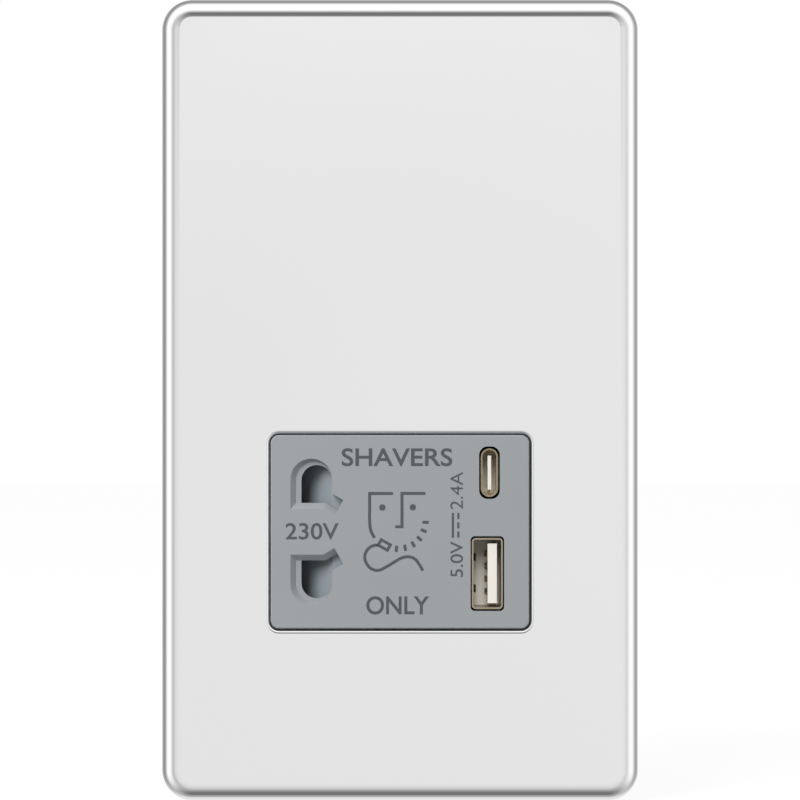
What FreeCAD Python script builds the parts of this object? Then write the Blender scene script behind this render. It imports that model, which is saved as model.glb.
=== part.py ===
import FreeCAD, Part
import math
import os
import re
import Sketcher

# A shaver supply outlet with two charging ports on a tall double wall plate.
# The wall is the plane Y = 0 and the plate stands out of it towards -Y.
# X runs to the right and Z up, seen from the front, and the origin is the
# middle of the plate. In formulas "out" is the distance out of the wall, so
# what lies inside the wall box has a negative out. Lengths are millimetres.

doc = FreeCAD.newDocument("shaver_socket")
sheet = doc.addObject("Spreadsheet::Sheet", "Sizes")
# The driving sizes, grouped by the piece that they shape
driving = {
    # Front plate, pressed from sheet
    "plate_width": 88.0,
    "plate_height": 148.0,
    "plate_stand": 5.0,
    "plate_sheet": 0.8,
    "plate_corner": 5.6,
    "rim_round": 3.4,
    "window_width": 48.1,
    "window_height": 36.1,
    "window_rise": -24.3,
    "window_corner": 1.75,
    "lip_depth": 1.8,
    "lip_round": 0.75,
    "clip_length": 8.0,
    "clip_reach": 0.45,
    "clip_rise": 45.0,
    "notch_width": 10.0,
    "notch_depth": 1.3,

    # Carrier frame behind the plate
    "carrier_gap": 0.25,
    "carrier_floor": 1.4,
    "carrier_wall": 2.4,
    "rib_width": 1.2,
    "rib_pitch": 13.0,
    "nest_wall": 1.2,
    "housing_nest": 0.4,
    "fixing_spacing": 120.6,
    "fixing_radius": 1.75,
    "fixing_neck_radius": 1.45,
    "fixing_hole_radius": 1.95,
    "fixing_head_radius": 3.4,
    "fixing_head": 2.2,
    "fixing_length": 25.0,

    # Grey socket front
    "insert_gap": 0.2,
    "insert_proud": 0.0,
    "insert_edge": 0.3,
    "face_wall": 2.2,
    "flange_reach": 2.8,
    "skirt_inset": 0.6,
    "skirt_wall": 1.2,
    "skirt_reach": 1.4,
    "rail_wall": 1.0,
    "rail_lead": 1.5,
    "hook_reach": 1.0,
    "hook_width": 7.0,
    "wall_seat_gap": 0.15,

    # Pin apertures, measured from the middle of the socket front
    "mouth_left": -20.2,
    "ledge_left": -19.2,
    "hole_left": -18.2,
    "hole_right": -12.5,
    "mouth_low": 4.2,
    "hole_low": 5.3,
    "mouth_tip": 13.5,
    "ledge_tip": 12.9,
    "hole_tip": 12.3,
    "mouth_depth": 1.1,
    "blade_angle": 30.0,
    "blade_centre_x": -15.5,
    "blade_centre_rise": 6.86,
    "blade_reach": 4.87,
    "blade_high": 1.65,
    "blade_mouth_low": 1.65,
    "blade_hole_low": 0.47,

    # Sliding shutter behind the apertures
    "slide_gap": 0.15,
    "shutter_depth": 6.2,
    "shutter_travel": 6.6,
    "shutter_half": 12.9,
    "finger_low": 3.7,
    "ramp_cover": 0.4,
    "ramp_top": -12.4,
    "ramp_toe": 0.6,
    "spine_left": -9.4,
    "spine_width": 2.6,
    "tail_right": -1.0,
    "tail_half": 3.0,
    "cam_slope": 0.2,
    "cam_toe": 0.65,
    "cam_half": 1.6,
    "spring_radius": 1.75,
    "spring_wire": 0.2,
    "spring_turns": 7.0,
    "spring_wall_x": 10.3,
    "spring_wall": 1.2,
    "peg_radius": 1.1,
    "peg_length": 1.4,
    "spring_out": 0.6,

    # Contact carrier and contacts
    "base_plate": 1.6,
    "base_left": -22.3,
    "base_right": 6.9,
    "base_half": 16.6,
    "cell_wall": 1.1,
    "cell_left": -19.2,
    "cell_right": -11.6,
    "cell_low": 4.4,
    "cell_high": 12.8,
    "cell_depth": 11.9,
    "cell_floor": 1.2,
    "contact_sheet": 0.5,
    "contact_mouth": 3.2,
    "contact_pinch": 1.85,
    "contact_base": 3.0,
    "contact_width": 7.6,
    "tag_width": 2.4,
    "contact_gap": 0.15,
    "boss_x": 20.4,
    "boss_right_x": 5.0,
    "boss_rise": 14.9,
    "boss_radius": 1.7,
    "small_screw_radius": 1.0,
    "small_head_radius": 1.8,
    "small_head": 1.2,
    "small_screw_length": 6.0,
    "thread_gap": 0.05,

    # Microswitch that the shutter presses
    "switch_x": -2.0,
    "switch_width": 5.8,
    "switch_length": 12.8,
    "switch_depth": 4.5,
    "switch_gap": 0.3,
    "plunger_round": 0.6,
    "plunger_half": 1.2,
    "plunger_collar": 0.4,
    "plunger_length": 5.2,
    "plunger_room": 2.0,
    "cam_gap": 0.05,

    # Charging board and its two ports
    "board_sheet": 1.6,
    "usb_board_left": -8.0,
    "usb_board_right": 21.6,
    "usb_board_half": 16.2,
    "port_recess": 0.4,
    "port_sheet": 0.3,
    "usb_a_x": 16.1,
    "usb_a_rise": -7.7,
    "usb_a_width": 5.7,
    "usb_a_height": 13.1,
    "usb_a_window_width": 6.2,
    "usb_a_window_height": 13.8,
    "usb_a_window_corner": 0.8,
    "usb_a_corner": 0.7,
    "usb_a_tongue_x": 0.93,
    "usb_a_tongue": 1.7,
    "usb_a_tongue_height": 11.0,
    "spring_window_rise": 2.9,
    "spring_window_half": 0.8,
    "spring_window_start": 2.9,
    "spring_window_end": 6.1,
    "blade_width": 1.0,
    "blade_sheet": 0.12,
    "blade_pitch": 2.33,
    "blade_setback": 0.8,
    "usb_c_x": 16.5,
    "usb_c_rise": 10.9,
    "usb_c_width": 3.16,
    "usb_c_height": 8.94,
    "usb_c_window_width": 3.83,
    "usb_c_window_height": 9.7,
    "usb_c_tongue": 0.65,
    "usb_c_tongue_height": 6.3,
    "tongue_recess": 0.9,
    "plug_depth": 9.0,
    "shroud_wall": 1.0,
    "shroud_depth": 4.5,
    "post_radius": 1.5,
    "post_left_x": 11.0,
    "post_left_rise": 9.0,
    "post_right_x": 20.3,
    "post_right_rise": 2.6,

    # Housing in the wall box
    "housing_width": 62.0,
    "housing_low": -52.5,
    "housing_high": 54.0,
    "housing_depth": 38.0,
    "housing_wall": 2.0,
    "housing_corner": 3.0,
    "housing_edge": 1.5,
    "pillar_inset": 2.6,
    "pillar_radius": 2.9,
    "pillar_depth": 14.0,
    "housing_screw_radius": 1.45,
    "housing_head_radius": 2.7,
    "housing_head": 1.9,
    "housing_screw_length": 13.0,
    "vent_width": 2.4,
    "vent_pitch": 6.0,
    "vent_height": 27.0,
    "vent_low": 12.0,
    "vent_count": 7,
    "side_vent_count": 5,
    "low_vent_count": 5,
    "low_vent_height": 15.0,
    "bay_half": 16.6,
    "bay_high": -32.6,
    "bay_wall": 1.8,
    "bay_gap": 0.3,

    # Main board and terminals
    "main_board_half": 27.4,
    "main_board_low": -44.8,
    "main_board_high": 1.4,
    "board_neck_half": 15.6,
    "board_neck_high": 10.4,
    "board_post_x": 23.5,
    "board_post_low": -40.5,
    "board_post_high": -2.6,
    "board_post_radius": 3.0,
    "board_screw_radius": 1.3,
    "board_head_radius": 2.5,
    "board_head": 1.6,
    "block_half": 15.4,
    "block_low": -44.4,
    "block_high": -34.0,
    "block_depth": 8.2,
    "pole_pitch": 10.0,
    "cage_width": 4.6,
    "cage_height": 6.4,
    "cage_depth": 5.2,
    "cage_setback": 0.5,
    "cage_fit": 0.15,
    "wire_radius": 1.6,
    "wire_setback": 2.0,
    "pole_screw_radius": 1.2,
    "pole_head_radius": 2.1,
    "pole_head": 1.5,
    "pole_screw_room": 0.25,
    "pole_head_stand": 0.4,
    "pole_screw_bite": 1.2,
    "pin_width": 0.8,
    "pin_gap": 0.1,
    "pin_stand": 1.2,

    # Isolating transformer
    "leg": 8.5,
    "core_low": 4.0,
    "core_stack": 16.0,
    "core_standoff": 9.4,
    "core_bolt_inset": 4.2,
    "core_bolt_radius": 1.5,
    "core_hole_radius": 1.7,
    "core_head_radius": 2.8,
    "core_head": 1.8,
    "core_bolt_bite": 6.5,
    "core_post_radius": 3.6,
    "bobbin_wall": 0.9,
    "bobbin_gap": 0.15,
    "bobbin_flange": 1.0,
    "bobbin_divider": 0.8,
    "primary_share": 11.6,
    "winding_build": 6.4,
    "tape": 0.3,
    "flange_margin": 0.4,
    "rail_half": 13.4,
    "rail_gap": 0.1,
    "rail_low": 5.0,
    "rail_pin_pitch": 5.0,
    "rail_pin_rise": 7.6,
    "cutout_width": 9.0,
    "cutout_height": 5.0,
    "cutout_depth": 2.0,

    # Parts on the two boards
    "usb_core_width": 13.0,
    "usb_core_leg": 3.0,
    "usb_core_depth": 6.0,
    "usb_coil_height": 10.0,
    "usb_coil_x": 8.5,
    "usb_coil_rise": 0.0,
    "large_capacitor_x": 2.0,
    "large_capacitor_rise": 11.5,
    "large_capacitor_radius": 4.0,
    "large_capacitor_height": 12.0,
    "small_capacitor_x": 17.4,
    "small_capacitor_rise": -9.0,
    "small_capacitor_radius": 3.15,
    "small_capacitor_height": 8.0,
    "capacitor_edge": 0.5,
    "fuse_x": 17.2,
    "fuse_rise": 11.0,
    "fuse_radius": 4.2,
    "fuse_height": 7.8,
    "surge_x": -20.6,
    "surge_rise": -9.0,
    "surge_radius": 4.0,
    "surge_width": 3.4,
    "chip_x": 7.3,
    "chip_rise": -12.6,
    "chip_width": 5.0,
    "chip_length": 4.0,
    "chip_height": 1.5,
    "link_pitch": 2.54,
    "link_inset": 1.7,
    "link_low": -4.0,

    # Allowances: how far a cut runs past a face, and how deep a root is sunk
    "overshoot": 1.0,
    "bury": 0.2,
    "bore_room": 0.3,
    "well_room": 1.2,
    "head_room": 0.5,
    "rib_bite": 0.5,
    "nest_margin": 2.0,
    "end_rung_inset": 7.0,
    "clip_low": 0.6,
    "clip_flat": 0.3,
    "groove_low": 0.2,
    "groove_high": 1.2,
    "flange_ease": 0.5,
    "stop_half": 0.7,
    "stop_reach": 0.4,
    "stop_back": 1.5,
    "spring_wall_reach": 1.2,
    "wedge_bite": 0.3,
    "wedge_start": 0.1,
    "wedge_flat": 0.4,
    "sliver": 0.001,
    "mouth_back": 0.5,
    "pinch_back": 4.9,
    "collar_height": 0.7,
    "switch_pin_share": 0.4,
    "link_pin_reach": 4.0,
    "window_round_share": 0.42,
    "usb_c_flat": 0.02,
    "usb_c_heel_stand": 1.5,
    "coil_stand": 1.2,
    "yoke_share": 0.8,
    "leg_share": 0.6,
    "core_cut_reach": 9.0,
    "coil_swell": 2.6,
    "foot_inset": 0.5,
    "foot_reach": 3.2,
    "foot_eye_inset": 2.2,
    "foot_eye_reach": 0.4,
    "foot_sheet": 0.8,
    "cheek_half": 3.0,
    "cheek_near": 0.5,
    "cheek_far": 2.3,
    "cheek_root": 0.5,
    "surge_stand": 0.8,
    "surge_edge_share": 0.3,
    "surge_leg_half": 0.3,
    "surge_leg_reach": 2.6,
    "wire_room": 0.3,
    "rail_bore_skin": 0.3,
    "rail_pin_skin": 0.4,
    "bolt_room": 0.5,
    "low_vent_rise": 4.0,
    "side_vent_inset": 3.0,
    "board_screw_bite": 5.0,
}
for row, (name, value) in enumerate(driving.items(), 1):
    sheet.set("A%d" % row, name)
    sheet.set("B%d" % row, str(value))
    sheet.setAlias("B%d" % row, name)
doc.recompute()

# Planes that several pieces share, as formulas in the sheet's names
PLATE_BACK = "plate_stand - plate_sheet"
FACE_FRONT = "plate_stand + insert_proud"
FACE_BACK = "plate_stand + insert_proud - face_wall"
FLANGE_FRONT = "plate_stand - lip_depth - wall_seat_gap"
SHUTTER_FRONT = "plate_stand + insert_proud - face_wall - slide_gap"
SHUTTER_BACK = SHUTTER_FRONT + " - shutter_depth"
BASE_FRONT = SHUTTER_BACK + " - slide_gap"
BASE_BACK = BASE_FRONT + " - base_plate"
CELL_BACK = BASE_BACK + " - cell_depth"
SWITCH_FRONT = BASE_BACK + " - switch_gap"
USB_BOARD_FRONT = SWITCH_FRONT + " - switch_depth"
USB_BOARD_BACK = USB_BOARD_FRONT + " - board_sheet"
HOUSING_BACK = "-housing_depth"
HOUSING_FLOOR = "housing_wall - housing_depth"
CORE_BACK = HOUSING_FLOOR + " + core_standoff"
CORE_FRONT = CORE_BACK + " + core_stack"
CORE_MIDDLE = CORE_BACK + " + core_stack / 2"
MAIN_BOARD_FRONT = CORE_BACK + " - board_sheet"
MAIN_BOARD_BACK = MAIN_BOARD_FRONT + " - board_sheet"
INSERT_HALF = "(window_width / 2 - insert_gap)"
INSERT_RISE = "(window_height / 2 - insert_gap)"
SKIRT_HALF = "(window_width / 2 - insert_gap - skirt_inset)"
SKIRT_RISE = "(window_height / 2 - insert_gap - skirt_inset)"
FLANGE_HALF = "(window_width / 2 + flange_reach)"
FLANGE_RISE = "(window_height / 2 + flange_reach)"
CARRIER_HALF = "(plate_width / 2 - plate_sheet - carrier_gap)"
CARRIER_RISE = "(plate_height / 2 - plate_sheet - carrier_gap)"
HOUSING_MIDDLE = "(housing_low + housing_high) / 2"
HOUSING_HALF = "housing_width / 2"
HOUSING_RISE = "(housing_high - housing_low) / 2"
PILLAR_X = "(housing_width / 2 - housing_wall - pillar_inset)"
PILLAR_HIGH = "(housing_high - housing_wall - pillar_inset + 1)"
PILLAR_LOW = "(housing_low + housing_wall + pillar_inset - 1)"


def bound(formula):
    """The formula, with each size written as the sheet's cell."""
    def cell(word):
        return "Sizes." + word.group() if word.group() in driving else word.group()
    return re.sub(r"[a-z][a-z_0-9]*", cell, str(formula))


def number(formula):
    """What the formula comes to, in millimetres."""
    return float(sheet.evalExpression(bound(formula)))


def rise(formula):
    """A height given from the middle of the window, from the plate's middle."""
    return "window_rise + (%s)" % formula


# What a sketch holds: each function returns one that draws a closed outline

def place(sketch, geometry, point, x, y):
    """Ties a point of the sketch to a place given by two formulas."""
    for kind, formula in (("DistanceX", x), ("DistanceY", y)):
        index = sketch.addConstraint(Sketcher.Constraint(kind, geometry, point, number(formula)))
        sketch.setExpression("Constraints[%d]" % index, bound(formula))


def path(*corners):
    """Straight lines through the corners and back to the first."""
    def draw(sketch):
        spots = [FreeCAD.Vector(number(x), number(y), 0) for x, y in corners]
        first = sketch.GeometryCount
        for index, spot in enumerate(spots):
            sketch.addGeometry(Part.LineSegment(spot, spots[(index + 1) % len(spots)]), False)
        for index, (x, y) in enumerate(corners):
            after = first + (index + 1) % len(spots)
            sketch.addConstraint(Sketcher.Constraint("Coincident", first + index, 2, after, 1))
            place(sketch, first + index, 1, x, y)
    return draw


def box(left, right, low, high):
    """A rectangle between four formulas."""
    return path((left, low), (right, low), (right, high), (left, high))


def middle_box(x, y, half_width, half_height):
    """A rectangle round a middle point."""
    low, high = "%s - (%s)" % (y, half_height), "%s + (%s)" % (y, half_height)
    return box("%s - (%s)" % (x, half_width), "%s + (%s)" % (x, half_width), low, high)


def rounded_box(x, y, half_width, half_height, radius):
    """A rectangle round a middle point, with rounded corners."""
    def draw(sketch):
        inner_x, inner_y = "(%s) - (%s)" % (half_width, radius), "(%s) - (%s)" % (half_height, radius)

        def spot(across, up, wide, tall):
            return ("%s + %d * (%s)" % (x, across, wide), "%s + %d * (%s)" % (y, up, tall))
        # Anticlockwise from the foot of the right side: a line, then an arc
        turns = ((1, -1, 1, 1), (1, 1, -1, 1), (-1, 1, -1, -1), (-1, -1, 1, -1))
        first = sketch.GeometryCount
        lines, arcs = [], []
        for index, (across, up, next_across, next_up) in enumerate(turns):
            upright = across == next_across
            wide, tall = (half_width, inner_y) if upright else (inner_x, half_height)
            start, end = spot(across, up, wide, tall), spot(next_across, next_up, wide, tall)
            ends = [FreeCAD.Vector(number(a), number(b), 0) for a, b in (start, end)]
            line = sketch.addGeometry(Part.LineSegment(*ends), False)
            place(sketch, line, 1, *start)
            place(sketch, line, 2, *end)
            lines.append(line)
            centre = spot(next_across, next_up, inner_x, inner_y)
            circle = Part.Circle(FreeCAD.Vector(number(centre[0]), number(centre[1]), 0),
                                 FreeCAD.Vector(0, 0, 1), number(radius))
            turn = index * math.pi / 2
            arcs.append(sketch.addGeometry(Part.ArcOfCircle(circle, turn, turn + math.pi / 2), False))
        for index in range(4):
            after = lines[(index + 1) % 4]
            sketch.addConstraint(Sketcher.Constraint("Coincident", arcs[index], 1, lines[index], 2))
            sketch.addConstraint(Sketcher.Constraint("Coincident", arcs[index], 2, after, 1))
            bend = sketch.addConstraint(Sketcher.Constraint("Radius", arcs[index], number(radius)))
            sketch.setExpression("Constraints[%d]" % bend, bound(radius))
    return draw


def disc(x, y, radius):
    """A circle."""
    def draw(sketch):
        centre = FreeCAD.Vector(number(x), number(y), 0)
        circle = Part.Circle(centre, FreeCAD.Vector(0, 0, 1), number(radius))
        index = sketch.addGeometry(circle, False)
        place(sketch, index, 3, x, y)
        size_index = sketch.addConstraint(Sketcher.Constraint("Radius", index, number(radius)))
        sketch.setExpression("Constraints[%d]" % size_index, bound(radius))
    return draw


# Bodies and their features

def body(name):
    """A new sub-part. Its name is the name of its file."""
    made = doc.addObject("PartDesign::Body", name)
    made.Label = name
    made.Placement = FreeCAD.Placement()
    return made


def plane(owner, role):
    """One of the sub-part's own origin planes or axes."""
    return [item for item in owner.Origin.OriginFeatures if item.Role == role][0]


def sketch_on(owner, name, role, height, outlines):
    """A sketch on an origin plane, lifted along the plane's normal."""
    sketch = owner.newObject("Sketcher::SketchObject", name + "_sketch")
    sketch.AttachmentSupport = [(plane(owner, role), "")]
    sketch.MapMode = "FlatFace"
    sketch.setExpression("AttachmentOffset.Base.z", bound(height))
    for outline in outlines:
        outline(sketch)
    return sketch


def add(owner, name, outlines, start, end, role="XZ_Plane"):
    """Adds material on the outlines from start to end along the normal."""
    sketch = sketch_on(owner, name, role, start, outlines)
    pad = owner.newObject("PartDesign::Pad", name)
    pad.Profile = sketch
    pad.setExpression("Length", bound("(%s) - (%s)" % (end, start)))
    return pad


def cut(owner, name, outlines, start, end, role="XZ_Plane"):
    """Cuts the outlines away from start to end along the normal."""
    sketch = sketch_on(owner, name, role, end, outlines)
    pocket = owner.newObject("PartDesign::Pocket", name)
    pocket.Profile = sketch
    pocket.setExpression("Length", bound("(%s) - (%s)" % (end, start)))
    return pocket


def repeat(owner, name, feature, role, pitch, count):
    """Copies a feature along an origin axis, at a pitch."""
    pattern = owner.newObject("PartDesign::LinearPattern", name)
    pattern.Originals = [feature]
    pattern.Direction = (plane(owner, role), [""])
    pattern.Mode = "Spacing"
    pattern.setExpression("Offset", bound(pitch))
    pattern.setExpression("Occurrences", bound(count))
    owner.Tip = pattern
    return pattern


def at(value, formula, room=0.02):
    """True where a coordinate is the one that a formula gives."""
    return abs(value - number(formula)) < room


def dress(owner, name, kind, amount, wanted):
    """Rounds or bevels the edges that pass the test."""
    doc.recompute()
    base = owner.Tip
    edges = [index + 1 for index, edge in enumerate(base.Shape.Edges) if wanted(edge)]
    made = owner.newObject("PartDesign::" + kind, name)
    made.Base = (base, ["Edge%d" % index for index in edges])
    made.setExpression("Radius" if kind == "Fillet" else "Size", bound(amount))
    return made


# Screws, each group one sub-part with a solid for each screw

# Shares of a screw head's height and radius, and how near counts as touching
HEAD_CHAMFER = 0.35
SLOT_WIDTH = 0.3
SLOT_LENGTH = 1.15
SLOT_DEPTH = 0.55
TOUCH = 0.02


def screws(name, places, seat, head_radius, head, radius, length, point=1, neck=None):
    """Pan head screws. Point is 1 where they run into the wall, -1 outwards.

    Neck is the radius and the length of a thinner shank under the head.
    """
    solids = []
    for x, z in places:
        under = number(seat)
        head_height = number(head)
        middle = FreeCAD.Vector(number(x), -under, number(z))
        way = FreeCAD.Vector(0, point, 0)
        shank = Part.makeCylinder(number(radius), number(length), middle, way)
        if neck:
            ring = Part.makeCylinder(2 * number(radius), number(neck[1]), middle, way)
            ring = ring.cut(Part.makeCylinder(number(neck[0]), number(neck[1]), middle, way))
            shank = shank.cut(ring)
        cap = Part.makeCylinder(number(head_radius), head_height, middle, -way)
        crown_y = -under - point * head_height
        rim = [edge for edge in cap.Edges if abs(edge.CenterOfMass.y - crown_y) < 0.001 and edge.Closed]
        cap = cap.makeChamfer(head_height * HEAD_CHAMFER, rim)
        solid = shank.fuse(cap).removeSplitter()
        slot_width = number(head_radius) * SLOT_WIDTH
        slot_length = number(head_radius) * SLOT_LENGTH
        corner = middle - way * head_height
        for long_x in (True, False):
            wide = slot_length if long_x else slot_width
            tall = slot_width if long_x else slot_length
            low = corner.y if point > 0 else corner.y - head_height * SLOT_DEPTH
            start = FreeCAD.Vector(corner.x - wide / 2, low, corner.z - tall / 2)
            solid = solid.cut(Part.makeBox(wide, head_height * SLOT_DEPTH, tall, start))
        solids.append(solid)
    made = doc.addObject("Part::Feature", name)
    made.Label = name
    made.Shape = Part.Compound(solids)
    made.Placement = FreeCAD.Placement()
    return made


def front_plate():
    """Pressed steel plate with a rolled rim and a turned-in window edge."""
    made = body("front_plate")
    outer = rounded_box("0", "0", "plate_width / 2", "plate_height / 2", "plate_corner")
    add(made, "plate_blank", [outer], "0", "plate_stand")
    inner, inner_rise = "plate_width / 2 - plate_sheet", "plate_height / 2 - plate_sheet"
    hollow = rounded_box("0", "0", inner, inner_rise, "plate_corner - plate_sheet")
    cut(made, "plate_hollow", [hollow], "-overshoot", PLATE_BACK)
    dress(made, "hollow_rim", "Fillet", "rim_round - plate_sheet",
          lambda edge: at(edge.CenterOfMass.y, "-(%s)" % PLATE_BACK))
    dress(made, "plate_rim", "Fillet", "rim_round", lambda edge: at(edge.CenterOfMass.y, "-plate_stand"))
    half, half_rise = "window_width / 2", "window_height / 2"
    lip = rounded_box("0", "window_rise", half + " + plate_sheet", half_rise + " + plate_sheet",
                      "window_corner + plate_sheet")
    add(made, "plate_lip", [lip], "plate_stand - lip_depth", "plate_stand - plate_sheet / 2")
    window = rounded_box("0", "window_rise", half, half_rise, "window_corner")
    cut(made, "plate_window", [window], "plate_stand - lip_depth - overshoot", "plate_stand + overshoot")

    def window_edge(edge):
        centre = edge.CenterOfMass
        inside = abs(centre.x) < number(half) + TOUCH
        inside = inside and abs(centre.z - number("window_rise")) < number(half_rise) + TOUCH
        return at(centre.y, "-plate_stand") and inside
    dress(made, "window_roll", "Fillet", "lip_round", window_edge)
    wall = "plate_width / 2 - plate_sheet"
    for side in (1, -1):
        for end in (1, -1):
            low = "%d * clip_rise - clip_length / 2" % end
            ridge = path(
                ("%d * (%s)" % (side, wall), "-clip_low"),
                ("%d * (%s - clip_reach)" % (side, wall), "-clip_low - clip_reach"),
                ("%d * (%s - clip_reach)" % (side, wall), "-clip_low - clip_flat - clip_reach"),
                ("%d * (%s)" % (side, wall), "-clip_low - clip_flat - 2 * clip_reach"))
            add(made, "clip_ridge", [ridge], low, low + " + clip_length", role="XY_Plane")
    notch = box("-notch_width / 2", "notch_width / 2", "-plate_height / 2 - overshoot",
                "-plate_height / 2 + plate_sheet + bury / 2")
    cut(made, "lever_notch", [notch], "-overshoot", "notch_depth")
    return made


def carrier_frame():
    """Moulded frame that is screwed to the wall box and carries all the rest."""
    made = body("carrier_frame")
    front = "(%s - wall_seat_gap)" % PLATE_BACK
    half, half_rise = CARRIER_HALF, CARRIER_RISE
    blank = rounded_box("0", "0", half, half_rise, "plate_corner - plate_sheet - carrier_gap")
    add(made, "carrier_blank", [blank], "0", front)
    dress(made, "carrier_shoulder", "Fillet", "rim_round - plate_sheet - carrier_gap",
          lambda edge: at(edge.CenterOfMass.y, "-" + front))
    inner = middle_box("0", "0", half + " - carrier_wall", half_rise + " - carrier_wall")
    cut(made, "carrier_hollow", [inner], "carrier_floor", "plate_stand + overshoot")
    inner_rise = half_rise + " - carrier_wall + rib_bite"
    inner_half = half + " - carrier_wall + rib_bite"
    above = "window_rise + %s + 2 * nest_wall + nest_margin" % FLANGE_RISE
    rungs = ["(%s + %d * rib_pitch)" % (above, step) for step in range(4)]
    rungs.append("(%s - end_rung_inset)" % half_rise)
    rungs.append("(7 - %s)" % half_rise)
    rungs.append("(window_rise - %s - 2 * nest_wall - end_rung_inset)" % FLANGE_RISE)
    rungs = [middle_box("0", rung, inner_half, "rib_width / 2") for rung in rungs]
    add(made, "cross_ribs", rungs, "carrier_floor - bury", front)
    outer_x = "(%s + 2 * nest_wall + nest_margin)" % FLANGE_HALF
    inner_x = "(%s / 2)" % outer_x
    stiles = [middle_box("%d * %s" % (side, outer_x), "0", "rib_width / 2", inner_rise) for side in (1, -1)]
    nest_top = "window_rise + %s + nest_wall" % FLANGE_RISE
    nest_foot = "window_rise - %s - nest_wall" % FLANGE_RISE
    for side in (1, -1):
        left = "%d * %s - rib_width / 2" % (side, inner_x)
        stiles.append(box(left, left + " + rib_width", nest_top, inner_rise))
        stiles.append(box(left, left + " + rib_width", "-(%s)" % inner_rise, nest_foot))
    add(made, "long_ribs", stiles, "carrier_floor - bury", front)
    nest_gap = "wall_seat_gap"
    nest = middle_box("0", "window_rise", "%s + %s + nest_wall" % (FLANGE_HALF, nest_gap),
                      "%s + %s + nest_wall" % (FLANGE_RISE, nest_gap))
    nest_hole = middle_box("0", "window_rise", "%s + %s" % (FLANGE_HALF, nest_gap),
                           "%s + %s" % (FLANGE_RISE, nest_gap))
    add(made, "nest_wall", [nest, nest_hole], "carrier_floor - bury", front)
    opening = middle_box("0", "window_rise", SKIRT_HALF + " + 2 * wall_seat_gap",
                         SKIRT_RISE + " + 2 * wall_seat_gap")
    cut(made, "carrier_window", [opening], "-overshoot", "carrier_floor + overshoot")
    seat = rounded_box("0", HOUSING_MIDDLE, HOUSING_HALF + " + wall_seat_gap",
                       HOUSING_RISE + " + wall_seat_gap", "housing_corner + wall_seat_gap")
    cut(made, "housing_seat", [seat], "-overshoot", "housing_nest")
    fixing = [disc("0", "%d * fixing_spacing / 2" % end, "fixing_head_radius + nest_wall + well_room")
              for end in (1, -1)]
    add(made, "fixing_boss", fixing, "carrier_floor - bury", front)
    wells = [disc("0", "%d * fixing_spacing / 2" % end, "fixing_head_radius + well_room") for end in (1, -1)]
    cut(made, "fixing_well", wells, "carrier_floor", "plate_stand + overshoot")
    holes = [disc("0", "%d * fixing_spacing / 2" % end, "fixing_hole_radius") for end in (1, -1)]
    cut(made, "fixing_hole", holes, "-overshoot", "carrier_floor + overshoot")
    pillars = [(side, end) for side in (1, -1) for end in (PILLAR_HIGH, PILLAR_LOW)]
    wells = [disc("%d * %s" % (side, PILLAR_X), end, "housing_head_radius + head_room")
             for side, end in pillars]
    cut(made, "screw_well", wells, "carrier_floor", "plate_stand + overshoot")
    holes = [disc("%d * %s" % (side, PILLAR_X), end, "housing_screw_radius + pin_gap")
             for side, end in pillars]
    cut(made, "screw_hole", holes, "-overshoot", "carrier_floor + overshoot")
    for side in (1, -1):
        edge_x = "%d * %s" % (side, half)
        deep_x = "%d * (%s - 2 * clip_reach)" % (side, half)
        far_x = "%d * (%s + overshoot)" % (side, half)
        groove = path((far_x, "-groove_low"), (edge_x, "-groove_low"),
                      (deep_x, "-2 * groove_low - clip_reach / 2"),
                      (deep_x, "-groove_high - 1.5 * clip_reach"),
                      (edge_x, "-groove_high - groove_low - 2 * clip_reach"),
                      (far_x, "-groove_high - groove_low - 2 * clip_reach"))
        for end in (1, -1):
            low = "%d * clip_rise - clip_length / 2 - overshoot" % end
            cut(made, "clip_groove", [groove], low, low + " + clip_length + 2 * overshoot", role="XY_Plane")
    return made


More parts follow.
